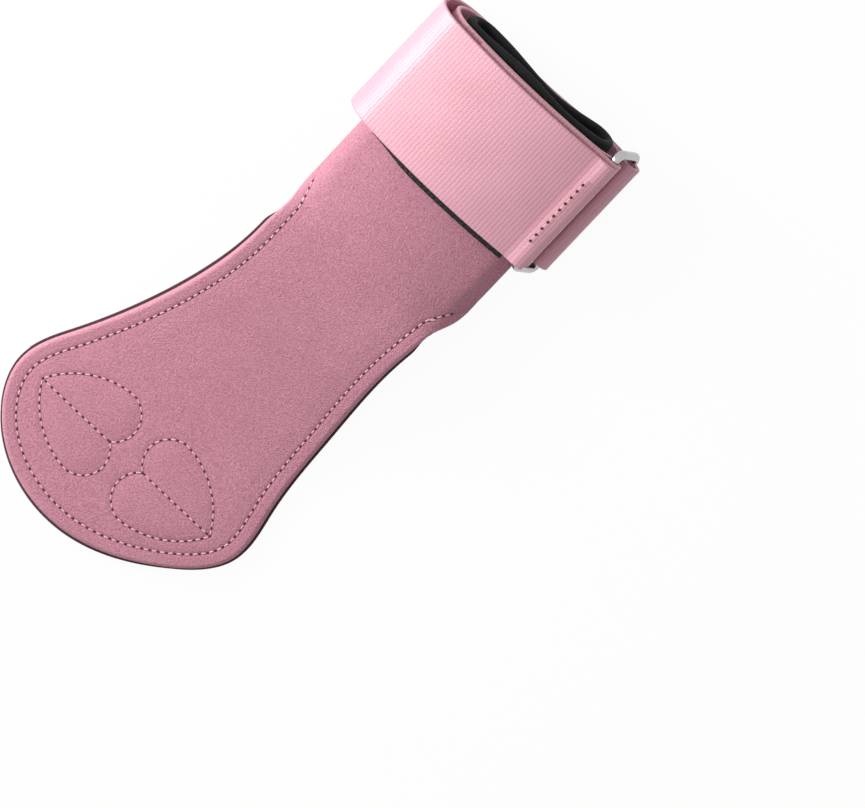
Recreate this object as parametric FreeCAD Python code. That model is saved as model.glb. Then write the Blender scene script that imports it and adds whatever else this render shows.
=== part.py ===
"""Wrist support brace: a stiff palm pad of leather on a padded wrist cuff, closed by a strap through a ring.

Millimetres. +Y runs along the hand towards the forearm, +X across it, +Z up from the table.
The brace lies on its back with the leather side up. The origin is the middle of the finished
brace's box in X and Y, at the height of the table.
"""
import FreeCAD, Part
import math
import os
from FreeCAD import Vector

# Webbing strap, one length that goes twice round the wrist
strap_width = 50.0
strap_thickness = 1.4
strap_low_edge = 63.2
flap_shift = 1.0
ply_gap = 0.1
body_gap = 0.3
edge_margin = 4.0

# Padded cuff, a flattened loop that arches over the table
cuff_front_radius = 124.0
cuff_back_radius = 60.0
cuff_middle_depth = 12.0
cuff_half_width = 34.0
neoprene_thickness = 3.5
neoprene_low_edge = 47.0
neoprene_high_edge = 115.0

# Leather that wraps the cuff
leather_thickness = 1.8
wrap_half_width = 37.0
wrap_low_edge = 36.0
wrap_high_edge = 107.0
wing_low_edge = 45.0
wing_gap = 36.0

# Straps at the two folds
base_left_width = 39.5
base_right_slack = 1.0
fold_slack = 5.3
fold_radius = 13.5
free_end = 40.3
hem_length = 7.5
peel_line = 31.0
foot_flat = 0.5

# Fastening tapes
loop_thickness = 0.7
hook_thickness = 1.0
tape_left = 28.0
tape_right = 18.0
loop_width = 42.0
hook_width = 49.0
hook_overhang = 1.8
tab_length = 62.0
tab_seam = 22.0

# Steel ring
ring_wire = 3.4
ring_play = 0.8
ring_end_clearance = 0.15
ring_bar_spacing = 14.8
ring_corner = 2.9
ring_tilt = 70.0
ring_lift = 1.4

# Palm pad, side view
lining_thickness = 1.0
core_thickness = 1.6
flex_line = 22.0
slope_start = 34.0
slope_end = -72.0
curl_start = -114.0
curl_radius = 64.0
tip_line = -129.6

# Palm pad, outline seen from above
neck_left = 37.5
neck_right = 33.4
waist_line = 6.0
waist_left = 37.1
waist_right = 31.2
flare_line = -40.0
flare_left = 45.8
flare_right = 31.6
hip_line = -72.0
hip_left = 59.4
hip_right = 34.4
corner_line = -94.0
corner_left = 67.5
corner_right = 36.4
shoulder_line = -114.0
shoulder_left = 59.2
shoulder_right = 20.6
apex_left = 21.5
core_inset = 7.0

# Heart-shaped heel pads
heart_line = -93.8
heart_mirror = -16.0
heart_notch = 8.1
heart_inner = 4.0
heart_inner_rise = 11.0
heart_crown = 13.0
heart_crown_rise = 18.8
heart_side = 25.0
heart_side_rise = 15.6
heart_point = 40.9
pad_rise = 0.6
pad_round = 0.5

base_right_width = wrap_half_width + ply_gap + strap_thickness + base_right_slack
fold_reach = base_left_width + fold_slack
strap_middle = strap_low_edge + strap_width / 2
strap_high_edge = strap_low_edge + strap_width
palm_thickness = leather_thickness + core_thickness + lining_thickness
ring_fold = ring_wire / 2 + body_gap + strap_thickness / 2
bar_fold = ring_wire / 2 + ring_play + strap_thickness / 2

# Height of each layer's inner face over the padded cuff
leather_level = ply_gap
base_level = leather_level + leather_thickness + ply_gap
tab_level = base_level + strap_thickness + ply_gap
loop_level = tab_level + strap_thickness + ply_gap
hook_level = loop_level + loop_thickness + body_gap
flap_level = hook_level + hook_thickness + ply_gap
hem_level = flap_level + strap_thickness + ply_gap
tail_level = base_level + strap_thickness + ply_gap

LEFT_TURN = 1
RIGHT_TURN = -1

front_centre = -cuff_front_radius
back_centre = -cuff_middle_depth - cuff_back_radius


def section_point(u, v):
    """Point of a cross-section of the cuff, at the origin of the hand's length."""
    return Vector(u, 0, v)


def side_point(u, v):
    """Point of the palm pad's side view."""
    return Vector(0, u, v)


def run_between(first, second):
    """Heading of the straight run from one round form to the next, which it leaves and meets smoothly."""
    u1, v1, r1, turn1 = first
    u2, v2, r2, turn2 = second
    reach = math.hypot(u2 - u1, v2 - v1)
    shift = turn2 * r2 - turn1 * r1
    run = math.sqrt(max(0.0, reach * reach - shift * shift))
    return math.atan2(v2 - v1, u2 - u1) - math.atan2(shift, run)


def touch_angle(form, heading):
    """Angle on a round form where a strap with this heading lies on it."""
    return heading - form[3] * math.pi / 2


def heading_at(form, across):
    """Heading of a strap on the upper side of a round form, at a place across the cuff."""
    u, v, radius, turn = form
    return math.acos((across - u) / radius) + turn * math.pi / 2


def rim_point(form, radius, angle):
    """Point at a radius and angle about a round form's centre."""
    return form[0] + radius * math.cos(angle), form[1] + radius * math.sin(angle)


def route_edges(forms, headings, side, place):
    """Edges of one face of a strap that runs over round forms, offset to its left or right side."""
    edges = []
    last = None
    for form, arrive, leave in zip(forms, headings[:-1], headings[1:]):
        radius = form[2] - form[3] * side
        start = touch_angle(form, arrive)
        sweep = form[3] * ((form[3] * (leave - arrive)) % (2 * math.pi))
        if abs(sweep) > 2 * math.pi - 1e-4:
            sweep = 0.0
        first = place(*rim_point(form, radius, start))
        middle = place(*rim_point(form, radius, start + sweep / 2))
        final = place(*rim_point(form, radius, start + sweep))
        if last is not None and last.distanceToPoint(first) > 1e-5:
            edges.append(Part.LineSegment(last, first).toShape())
        if abs(sweep) * radius > 1e-4:
            edges.append(Part.Arc(last if near(last, first) else first, middle, final).toShape())
            last = final
        else:
            last = first
    return edges


def near(a, b):
    """Whether two points are one and the same."""
    return a is not None and a.distanceToPoint(b) <= 1e-5


def route_headings(forms, start, end):
    """Headings where a strap starts, passes between its forms, and ends."""
    between = [run_between(a, b) for a, b in zip(forms[:-1], forms[1:])]
    return [start] + between + [end]


def strip_face(forms, start, end, thickness, place):
    """Section of a strap whose middle runs over round forms."""
    headings = route_headings(forms, start, end)
    left = route_edges(forms, headings, thickness / 2, place)
    right = route_edges(forms, headings, -thickness / 2, place)
    first = Part.LineSegment(left[0].Vertexes[0].Point, right[0].Vertexes[0].Point).toShape()
    last = Part.LineSegment(left[-1].Vertexes[-1].Point, right[-1].Vertexes[-1].Point).toShape()
    wire = Part.Wire(Part.__sortEdges__(left + [last] + right + [first]))
    return Part.Face(wire)


def strap_solid(forms, start, end, thickness, low, high):
    """Strap of a thickness whose middle runs over round forms, from one edge to the other along Y."""
    face = strip_face(forms, start, end, thickness, section_point)
    face.translate(Vector(0, low, 0))
    return face.extrude(Vector(0, high - low, 0))


def cap_form(front_radius, back_radius, reach, side):
    """Round fold that meets a front arc and a back arc smoothly and reaches a given place."""
    low, high = 0.5, reach - 0.5
    for _ in range(60):
        radius = (low + high) / 2
        across = reach - radius
        front = front_centre + math.sqrt((front_radius - radius) ** 2 - across ** 2)
        back = back_centre + math.sqrt((back_radius + radius) ** 2 - across ** 2)
        if front > back:
            low = radius
        else:
            high = radius
    return side * across, front, radius, LEFT_TURN


def grown(form, amount, turn=LEFT_TURN):
    """The same round form with another radius and turn."""
    return form[0], form[1], form[2] + amount, turn


def front_form(level, turn):
    """Front arc of the cuff at a height over its padded face."""
    return 0.0, front_centre, cuff_front_radius + level, turn


def back_form(level, turn):
    """Back arc of the cuff at a depth under its padded face."""
    return 0.0, back_centre, cuff_back_radius - level, turn


neoprene_caps = [cap_form(cuff_front_radius, cuff_back_radius, cuff_half_width, side) for side in (-1, 1)]
wrap_outer = leather_level + leather_thickness
wrap_caps = [
    cap_form(cuff_front_radius + wrap_outer, cuff_back_radius - wrap_outer, wrap_half_width, side)
    for side in (-1, 1)
]
base_outer = base_level + strap_thickness
base_caps = [
    cap_form(cuff_front_radius + base_outer, cuff_back_radius - base_outer, reach, side)
    for reach, side in ((base_left_width, -1), (base_right_width, 1))
]


def ring_bars():
    """Centres of the ring's upper bar, held by the tab, and its lower bar, where the strap turns back."""
    cap = wrap_caps[1]
    over_cap = cap[2] + ply_gap + ring_fold + strap_thickness / 2
    from_front = cuff_front_radius + tab_level + strap_thickness / 2 - ring_fold + ring_lift
    centre_gap = math.hypot(cap[0], cap[1] - front_centre)
    along = (from_front ** 2 + centre_gap ** 2 - over_cap ** 2) / (2 * centre_gap)
    aside = math.sqrt(from_front ** 2 - along ** 2)
    lean = math.atan2(cap[0], cap[1] - front_centre)
    upper_x = along * math.sin(lean) + aside * math.cos(lean)
    upper_z = front_centre + along * math.cos(lean) - aside * math.sin(lean)
    tilt = math.radians(ring_tilt)
    lower_x = upper_x + ring_bar_spacing * math.cos(tilt)
    lower_z = upper_z - ring_bar_spacing * math.sin(tilt)
    return (upper_x, upper_z), (lower_x, lower_z)


upper_bar, lower_bar = ring_bars()
tail_lobes = [grown(cap, ply_gap + strap_thickness / 2, RIGHT_TURN) for cap in base_caps]
table_level = min(lobe[1] - lobe[2] for lobe in tail_lobes) - strap_thickness / 2 + foot_flat


def cuff_neoprene():
    """Foam loop with a neoprene face, open at both ends for the hand."""
    def loop(level, growth):
        forms = [
            front_form(level, LEFT_TURN),
            grown(neoprene_caps[0], growth),
            back_form(level, RIGHT_TURN),
            grown(neoprene_caps[1], growth),
        ]
        between = [run_between(a, b) for a, b in zip(forms, forms[1:] + forms[:1])]
        edges = route_edges(forms, [between[-1]] + between, 0.0, section_point)
        return Part.Face(Part.Wire(Part.__sortEdges__(edges)))

    face = loop(0.0, 0.0).cut(loop(-neoprene_thickness, -neoprene_thickness))
    face.translate(Vector(0, neoprene_low_edge, 0))
    return face.extrude(Vector(0, neoprene_high_edge - neoprene_low_edge, 0))


def hood_wire(front_radius, apex, left, right, caps, along):
    """Section of leather that arches over the hand's back and turns down at both sides."""
    centre = apex - front_radius
    outer = []
    inner = []
    for side, reach, radius in ((1, right, caps[1]), (-1, left, caps[0])):
        across = reach - radius
        height = centre + math.sqrt((front_radius - radius) ** 2 - across ** 2)
        lean = math.atan2(height - centre, side * across)
        for store, inset in ((outer, 0.0), (inner, leather_thickness)):
            rim = radius - inset
            half = (lean + (0 if side > 0 else math.pi)) / 2
            edge = Vector(side * across + side * rim, along, height)
            middle = Vector(side * across + rim * math.cos(half), along, height + rim * math.sin(half))
            top = Vector(side * across + rim * math.cos(lean), along, height + rim * math.sin(lean))
            store.append((edge, middle, top))
    loops = []
    for (right_side, left_side), inset in ((outer, 0.0), (inner, leather_thickness)):
        crown = Vector(0, along, apex - inset)
        loops.append([
            Part.Arc(*right_side).toShape(),
            Part.Arc(right_side[2], crown, left_side[2]).toShape(),
            Part.Arc(left_side[2], left_side[1], left_side[0]).toShape(),
        ])
    ends = [
        Part.LineSegment(outer[1][0], inner[1][0]).toShape(),
        Part.LineSegment(inner[0][0], outer[0][0]).toShape(),
    ]
    return Part.Wire(Part.__sortEdges__(loops[0] + [ends[0]] + loops[1] + [ends[1]]))


def pad_slope():
    """Height of the pad's upper face at the cuff and on the table, and the radius of its two bends."""
    crest = leather_level + leather_thickness
    flat = table_level + palm_thickness
    run = slope_start - slope_end
    drop = crest - flat
    return crest, flat, (run ** 2 + drop ** 2) / (4 * drop)


def pad_top(along):
    """Height of the palm pad's upper face at a place along the hand."""
    crest, flat, bend = pad_slope()
    if along > (slope_start + slope_end) / 2:
        return crest - bend + math.sqrt(bend ** 2 - (slope_start - along) ** 2)
    return flat + bend - math.sqrt(bend ** 2 - (along - slope_end) ** 2)


def pad_layer(depth, thickness):
    """Layer of the palm pad between two depths under its upper face, wider than the pad."""
    crest, flat, bend = pad_slope()
    middle = depth + thickness / 2
    forms = [
        (slope_start, crest - bend, bend - middle, LEFT_TURN),
        (slope_end, flat + bend, bend + middle, RIGHT_TURN),
        (curl_start, flat + curl_radius, curl_radius + middle, RIGHT_TURN),
    ]
    reach = curl_start - tip_line + edge_margin
    end = math.pi - math.asin(reach / curl_radius)
    face = strip_face(forms, math.pi, end, thickness, side_point)
    half = corner_left + edge_margin
    face.translate(Vector(-half, 0, 0))
    return face.extrude(Vector(2 * half, 0, 0))


def smooth_outline(points):
    """Smooth curve through an outline's points."""
    curve = Part.BSplineCurve()
    curve.interpolate([Vector(x, y, table_level - edge_margin) for x, y in points])
    return curve.toShape()


def pad_outline(inset=0.0):
    """Hourglass outline of the palm pad, or one drawn in from it, square across the flex line."""
    points = [
        (-neck_left + inset, flex_line - inset),
        (-waist_left + inset, waist_line),
        (-flare_left + inset, flare_line),
        (-hip_left + inset, hip_line),
        (-corner_left + inset, corner_line),
        (-shoulder_left + inset, shoulder_line + inset / 2),
        (-apex_left, tip_line + inset),
        (shoulder_right - inset / 2, shoulder_line + inset),
        (corner_right - inset, corner_line),
        (hip_right - inset, hip_line),
        (flare_right - inset, flare_line),
        (waist_right - inset, waist_line),
        (neck_right - inset, flex_line - inset),
    ]
    curve = smooth_outline(points)
    ends = [vertex.Point for vertex in curve.Vertexes]
    return Part.Wire([curve, Part.LineSegment(ends[-1], ends[0]).toShape()])


def upright(wire):
    """Tall block over an outline, through every layer of the pad."""
    height = cuff_middle_depth + 2 * edge_margin - table_level
    return Part.Face(wire).extrude(Vector(0, 0, height))


def heart_outline(side, height, inset=0.0):
    """Heart lying on its side at a height, its point towards the pad's edge, or one drawn in from it."""
    def at(across, rise):
        return Vector(heart_mirror + side * across, heart_line + rise, height)

    edges = []
    for way in (1, -1):
        crown = at(heart_crown, way * (heart_crown_rise - inset))
        lobe = Part.Arc(at(heart_notch + inset, 0), at(heart_inner + inset, way * heart_inner_rise), crown)
        bulge = at(heart_side - inset, way * (heart_side_rise - inset))
        flank = Part.Arc(crown, bulge, at(heart_point - 2 * inset, 0))
        edges += [lobe.toShape(), flank.toShape()]
    return Part.Wire(Part.__sortEdges__(edges))


def palm_parts():
    """Leather, foam core, heart pads and lining of the palm pad."""
    block = upright(pad_outline())
    core_block = upright(pad_outline(core_inset))
    flat_top = table_level + palm_thickness
    axis_height = pad_top(flex_line) - palm_thickness / 2
    nose = Part.makeCylinder(
        palm_thickness / 2, neck_left + neck_right,
        Vector(-neck_left, flex_line, axis_height), Vector(1, 0, 0))
    behind = Part.makeBox(400, 400, 400, Vector(-200, flex_line, -200))

    core = pad_layer(leather_thickness, core_thickness).common(core_block)
    pad_low = flat_top - leather_thickness - core_thickness
    pad_high = flat_top - leather_thickness + pad_rise
    rise = Vector(0, 0, pad_high - pad_low)
    pads = [Part.Face(heart_outline(side, pad_low)).extrude(rise) for side in (-1, 1)]
    leather = pad_layer(0.0, leather_thickness + core_thickness).common(block).cut(behind).fuse(nose)
    for side in (-1, 1):
        foot = heart_outline(side, flat_top - pad_rise)
        crown = heart_outline(side, flat_top + pad_rise, pad_round)
        leather = leather.fuse(Part.makeLoft([foot, crown], True, True))
    leather = leather.cut(core)
    for pad in pads:
        leather = leather.cut(pad)
        core = core.cut(pad)
    lining = pad_layer(leather_thickness + core_thickness, lining_thickness).common(block)
    lining = lining.cut(behind).cut(nose)
    return leather.removeSplitter(), core, pads, lining


def cuff_leather():
    """Leather over the cuff's front, with wings that wrap round behind it."""
    middle = leather_level + leather_thickness / 2
    caps = [grown(cap, -leather_thickness / 2) for cap in wrap_caps]
    forms = [
        back_form(middle, RIGHT_TURN),
        caps[1],
        front_form(middle, LEFT_TURN),
        caps[0],
        back_form(middle, RIGHT_TURN),
    ]
    start = heading_at(forms[0], wing_gap / 2)
    end = heading_at(forms[-1], -wing_gap / 2)
    wrap = strap_solid(forms, start, end, leather_thickness, wrap_low_edge, wrap_high_edge)
    below = Part.makeBox(200, wing_low_edge, 200, Vector(-100, 0, wrap_caps[0][1] - 200))
    return wrap.cut(below)


def neck_leather():
    """Leather from the flex line to the cuff, flat at one end and arched like the cuff at the other."""
    cuff_radius = cuff_front_radius + wrap_outer
    cap_radii = [cap[2] for cap in wrap_caps]
    neck_end = flex_line + palm_thickness / 2 + body_gap
    flat_cap = leather_thickness + ply_gap
    sections = [
        hood_wire(4 * cuff_radius, pad_top(neck_end), neck_left, neck_right, (flat_cap, flat_cap), neck_end),
        hood_wire(cuff_radius, wrap_outer, wrap_half_width, wrap_half_width, cap_radii, wrap_low_edge),
    ]
    return Part.makeLoft(sections, True, True)


def base_strap():
    """First round of the strap: left over the front, round behind and up to the ring's lower bar."""
    level = base_level + strap_thickness / 2
    caps = [grown(cap, -strap_thickness / 2) for cap in base_caps]
    bar = (lower_bar[0], lower_bar[1], bar_fold, RIGHT_TURN)
    forms = [front_form(level, LEFT_TURN), caps[0], back_form(level, RIGHT_TURN), caps[1]]
    start = heading_at(forms[0], tab_seam)
    end = run_between(caps[1], bar)
    u = rim_point(caps[1], caps[1][2], touch_angle(caps[1], end))
    strap = strap_solid(forms, start, end, strap_thickness, strap_low_edge, strap_high_edge)
    v = rim_point(bar, bar[2], touch_angle(bar, end))
    length = math.hypot(v[0] - u[0], v[1] - u[1])
    run = Part.makeBox(length, strap_width, strap_thickness, Vector(0, 0, -strap_thickness / 2))
    run.rotate(Vector(0, 0, 0), Vector(0, 1, 0), -math.degrees(end))
    run.translate(Vector(u[0], strap_low_edge, u[1]))
    return strap.fuse(run).removeSplitter()


def tail_forms():
    """Second round of the strap: over the ring's bar, back behind the cuff and round the left fold."""
    level = tail_level + strap_thickness / 2
    rim = cuff_front_radius + flap_level + strap_thickness
    across = fold_reach - fold_radius
    height = front_centre + math.sqrt((rim - fold_radius) ** 2 - across ** 2)
    fold = (-across, height, fold_radius - strap_thickness / 2, RIGHT_TURN)
    return [
        (lower_bar[0], lower_bar[1], bar_fold, RIGHT_TURN),
        tail_lobes[1],
        back_form(level, LEFT_TURN),
        tail_lobes[0],
        fold,
        front_form(flap_level + strap_thickness / 2, RIGHT_TURN),
    ]


def tail_strap_back():
    """Strap from the ring's lower bar, behind the cuff and up to the peel line."""
    forms = tail_forms()
    cap = grown(base_caps[1], -strap_thickness / 2)
    start = run_between(cap, forms[0])
    end = heading_at(forms[-1], -peel_line - body_gap / 2)
    strap = strap_solid(forms, start, end, strap_thickness, strap_low_edge, strap_high_edge)
    floor = Part.makeBox(200, 400, 40, Vector(-100, -100, table_level - 40))
    return strap.cut(floor)


def front_piece(level, thickness, left, right, low, high):
    """Strip on the front of the cuff, between two places across it."""
    form = front_form(level + thickness / 2, RIGHT_TURN)
    return strap_solid([form], heading_at(form, left), heading_at(form, right), thickness, low, high)


def tail_strap():
    """Flap of the strap that closes over the front, with its end folded back and sewn."""
    low = strap_low_edge - flap_shift
    high = strap_high_edge - flap_shift
    flap = front_piece(flap_level, strap_thickness, -peel_line + body_gap / 2, free_end, low, high)
    hem = front_piece(hem_level, strap_thickness, free_end - hem_length, free_end, low, high)
    end = front_piece(flap_level, hem_level - flap_level + strap_thickness,
                      free_end - strap_thickness, free_end, low, high)
    return flap.fuse(hem).fuse(end).removeSplitter()


def hook_tape():
    """Hook tape under the flap, wider than the strap's lower edge and cut to a point at the left."""
    high = strap_high_edge - flap_shift - edge_margin + hook_overhang
    low = high - hook_width
    tape = front_piece(hook_level, hook_thickness, -tape_left, tape_right, low, high)
    cut = Part.makePolygon([
        Vector(-tape_left - 1, low - 1, -60), Vector(-tape_left + 14, low - 1, -60),
        Vector(-tape_left - 1, low + 14, -60), Vector(-tape_left - 1, low - 1, -60)])
    return tape.cut(Part.Face(cut).extrude(Vector(0, 0, 100)))


def loop_tape():
    """Loop tape sewn on the tab, which the hook tape presses on."""
    low = strap_middle - loop_width / 2
    return front_piece(loop_level, loop_thickness, -tape_left, tape_right, low, low + loop_width)


def ring_tab():
    """Webbing tab folded round the ring's upper bar, with its two legs on the cuff's front."""
    upper = front_form(tab_level + strap_thickness / 2, RIGHT_TURN)
    lower = front_form(base_level + strap_thickness / 2, LEFT_TURN)
    bar = (upper_bar[0], upper_bar[1], ring_fold, RIGHT_TURN)
    cap = grown(wrap_caps[1], ply_gap + strap_thickness / 2)
    start = heading_at(upper, upper_bar[0] - tab_length)
    end = heading_at(lower, tab_seam)
    forms = [upper, bar, cap, lower]
    return strap_solid(forms, start, end, strap_thickness, strap_low_edge, strap_high_edge)


def ring():
    """Steel ring of round wire, long enough for the strap to pass through it."""
    half_length = strap_width / 2 + ring_end_clearance + ring_corner
    tilt = math.radians(ring_tilt)
    across = Vector(math.cos(tilt), 0, -math.sin(tilt))
    start = Vector(upper_bar[0], strap_middle, upper_bar[1])

    def at(width, length):
        return start + across * width + Vector(0, length, 0)

    bend = ring_corner * (1 - math.sqrt(0.5))
    far = ring_bar_spacing
    edges = []
    for width, sign in ((0.0, 1), (far, -1)):
        edges.append(Part.LineSegment(
            at(width, -sign * (half_length - ring_corner)),
            at(width, sign * (half_length - ring_corner))).toShape())
    for sign in (1, -1):
        edges.append(Part.LineSegment(
            at(ring_corner, sign * half_length), at(far - ring_corner, sign * half_length)).toShape())
        for width, inward in ((0.0, 1), (far, -1)):
            edges.append(Part.Arc(
                at(width, sign * (half_length - ring_corner)),
                at(width + inward * bend, sign * (half_length - bend)),
                at(width + inward * ring_corner, sign * half_length)).toShape())
    path = Part.Wire(Part.__sortEdges__(edges))
    origin = path.Vertexes[0].Point
    for edge in path.Edges:
        if edge.Curve.TypeId == "Part::GeomLine":
            origin = edge.Vertexes[0].Point
            direction = edge.tangentAt(edge.FirstParameter)
            break
    circle = Part.Wire(Part.Circle(origin, direction, ring_wire / 2).toShape())
    return path.makePipeShell([circle], True, False)


def build():
    """Every sub-part by name, in the cuff's own place."""
    leather, core, pads, lining = palm_parts()
    parts = {
        "palm_leather": leather,
        "palm_core": core,
        "palm_pad_left": pads[0],
        "palm_pad_right": pads[1],
        "palm_lining": lining,
        "neck_leather": neck_leather(),
        "cuff_leather": cuff_leather(),
        "cuff_neoprene": cuff_neoprene(),
        "base_strap": base_strap(),
        "tail_strap_back": tail_strap_back(),
        "tail_strap": tail_strap(),
        "hook_tape": hook_tape(),
        "loop_tape": loop_tape(),
        "ring_tab": ring_tab(),
        "ring": ring(),
    }
    return parts


def seat_offset(parts):
    """Move that puts the middle of the whole box on the origin and its bottom on the table."""
    box = Part.makeCompound(list(parts.values())).BoundBox
    return Vector(-box.Center.x, -box.Center.y, -box.ZMin)


def main():
    """Build the sub-parts, seat them on the origin and write one file for each."""
    os.makedirs("parts", exist_ok=True)
    parts = build()
    offset = seat_offset(parts)
    for name, shape in parts.items():
        shape.translate(offset)
        shape.exportStep(os.path.join("parts", name + ".step"))
        box = shape.BoundBox
        print(name, shape.isValid(), len(shape.Solids), round(shape.Volume, 1),
              [round(v, 2) for v in (box.XMin, box.YMin, box.ZMin, box.XMax, box.YMax, box.ZMax)])
    print("offset", [round(v, 3) for v in offset])
    print("flex axis", round(flex_line + offset.y, 3),
          round(pad_top(flex_line) - palm_thickness / 2 + offset.z, 3))
    rim = cuff_front_radius + flap_level + strap_thickness
    peel_height = front_centre + math.sqrt(rim ** 2 - peel_line ** 2) + body_gap
    print("peel axis", round(-peel_line + offset.x, 3), round(peel_height + offset.z, 3))
    print("ring axis", round(upper_bar[0] + offset.x, 3), round(upper_bar[1] + offset.z, 3))


main()
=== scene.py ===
"""Wrist support brace: suede palm pad, padded cuff and webbing strap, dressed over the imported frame.

The pieces are worked out in millimetres in the cuff's own place: X across the hand from the cuff's
middle, Y along the hand towards the forearm, Z up from the top of the padded cuff. They become metres
in the frame's place when their meshes are made.
"""
import logging
import math
from dataclasses import dataclass
from enum import Enum, IntEnum

import bmesh
import bpy
import numpy as np
from mathutils import Matrix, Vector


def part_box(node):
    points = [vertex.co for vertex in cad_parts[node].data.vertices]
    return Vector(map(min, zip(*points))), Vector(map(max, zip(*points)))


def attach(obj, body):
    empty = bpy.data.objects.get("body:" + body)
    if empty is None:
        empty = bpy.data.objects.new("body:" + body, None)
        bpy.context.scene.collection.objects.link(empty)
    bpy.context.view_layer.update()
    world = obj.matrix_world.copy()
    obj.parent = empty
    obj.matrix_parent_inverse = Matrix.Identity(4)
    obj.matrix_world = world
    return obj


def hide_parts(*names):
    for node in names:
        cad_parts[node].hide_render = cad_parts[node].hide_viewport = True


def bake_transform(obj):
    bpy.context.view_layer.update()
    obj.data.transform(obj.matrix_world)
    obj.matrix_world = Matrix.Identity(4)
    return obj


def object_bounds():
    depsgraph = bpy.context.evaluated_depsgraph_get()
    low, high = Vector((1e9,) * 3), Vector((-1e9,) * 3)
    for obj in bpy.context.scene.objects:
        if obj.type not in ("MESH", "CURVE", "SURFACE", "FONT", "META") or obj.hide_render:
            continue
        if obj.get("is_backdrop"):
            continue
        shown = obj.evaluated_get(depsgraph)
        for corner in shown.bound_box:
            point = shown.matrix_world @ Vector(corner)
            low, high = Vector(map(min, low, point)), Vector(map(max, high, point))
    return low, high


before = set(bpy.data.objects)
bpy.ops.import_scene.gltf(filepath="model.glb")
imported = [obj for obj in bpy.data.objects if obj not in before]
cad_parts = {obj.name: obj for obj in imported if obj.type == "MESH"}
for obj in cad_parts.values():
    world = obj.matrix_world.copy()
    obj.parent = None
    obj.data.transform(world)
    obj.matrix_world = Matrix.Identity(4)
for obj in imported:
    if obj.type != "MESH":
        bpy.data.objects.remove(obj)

log = logging.getLogger("brace")

MM = 0.001
BLEND_REACH = 14.0


class Body(Enum):
    """Bodies of the frame that pieces ride on."""

    CUFF = "cuff"
    PALM = "palm"
    FLAP = "strap_flap"
    RING = "ring"


class Turn(IntEnum):
    """Way that a strap turns on a round form, seen with X to the right and Z up."""

    LEFT = 1
    RIGHT = -1


@dataclass(frozen=True)
class Place:
    """Where the cuff's own origin lies in the frame, in millimetres."""

    x: float
    y: float
    z: float

    def metres(self, points: np.ndarray) -> np.ndarray:
        """Turn points of the cuff's own place into the frame's metres."""
        return (points + np.array([self.x, self.y, self.z])) * MM


@dataclass(frozen=True)
class RoundForm:
    """Round form in the cuff's section that straps lie on: centre, radius and way of turning."""

    u: float
    v: float
    radius: float
    turn: Turn

    def grown(self, amount: float, turn: Turn = Turn.LEFT) -> "RoundForm":
        """The same form with another radius and turn."""
        return RoundForm(self.u, self.v, self.radius + amount, turn)

    def heading_at(self, across: float) -> float:
        """Heading of a strap on the upper side of this form, at a place across the cuff."""
        return math.acos((across - self.u) / self.radius) + self.turn * math.pi / 2


@dataclass(frozen=True)
class Route:
    """Middle line of a strap: points in the section, headings and the length so far."""

    points: np.ndarray
    headings: np.ndarray
    lengths: np.ndarray

    def part(self, low: float, high: float) -> "Route":
        """The stretch of this route between two lengths along it."""
        inside = (self.lengths > low + 0.05) & (self.lengths < high - 0.05)
        lengths = np.concatenate([[low], self.lengths[inside], [high]])
        points = np.stack([np.interp(lengths, self.lengths, self.points[:, k]) for k in (0, 1)], axis=1)
        return Route(points, np.interp(lengths, self.lengths, self.headings), lengths)


def heading_between(first: RoundForm, second: RoundForm) -> float:
    """Heading of the straight run that leaves one form and meets the next smoothly.

    The run is the common tangent of the two circles, on the sides that their turns give.
    """
    reach = math.hypot(second.u - first.u, second.v - first.v)
    shift = second.turn * second.radius - first.turn * first.radius
    run = math.sqrt(max(0.0, reach * reach - shift * shift))
    return math.atan2(second.v - first.v, second.u - first.u) - math.atan2(shift, run)


def lay_route(forms: list[RoundForm], start: float, end: float, spacing: float = 0.8) -> Route:
    """Middle line of a strap pulled over round forms, as arcs joined by straight runs.

    On a form, the point at angle a is its centre plus radius times (cos a, sin a), and the heading is
    a plus a quarter turn to the left or right.

    Args:
        forms: The forms in the order in which the strap meets them.
        start: Heading where the strap begins.
        end: Heading where it ends.
        spacing: Greatest distance between two points.

    Returns:
        The route with its headings unwound, so that they never jump by a whole turn.
    """
    between = [heading_between(a, b) for a, b in zip(forms, forms[1:])]
    headings = [start] + between + [end]
    points, angles = [], []
    for form, arrive, leave in zip(forms, headings, headings[1:]):
        sweep = form.turn * ((form.turn * (leave - arrive)) % (2 * math.pi))
        if abs(sweep) > 2 * math.pi - 1e-4:
            sweep = 0.0
        count = max(2, math.ceil(abs(sweep) * form.radius / spacing) + 1)
        heading = arrive + np.linspace(0.0, sweep, count)
        angle = heading - form.turn * math.pi / 2
        arc = np.stack([form.u + form.radius * np.cos(angle), form.v + form.radius * np.sin(angle)], axis=1)
        if points:
            last = points[-1][-1]
            steps = int(np.hypot(*(arc[0] - last)) / spacing)
            share = np.linspace(0.0, 1.0, steps + 2)[1:-1, None]
            points.append(last + share * (arc[0] - last))
            angles.append(np.full(len(share), arrive))
        points.append(arc)
        angles.append(heading)
    line = np.concatenate(points)
    heading = np.unwrap(np.concatenate(angles))
    gaps = np.hypot(*np.diff(line, axis=0).T)
    keep = np.concatenate([[True], gaps > 1e-4])
    line, heading = line[keep], heading[keep]
    lengths = np.concatenate([[0.0], np.cumsum(np.hypot(*np.diff(line, axis=0).T))])
    return Route(line, heading, lengths)


def smooth_step(value: np.ndarray, low: float, high: float) -> np.ndarray:
    """Ease from 0 at low to 1 at high: 3 t squared minus 2 t cubed."""
    t = np.clip((value - low) / (high - low), 0.0, 1.0)
    return t * t * (3.0 - 2.0 * t)


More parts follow.
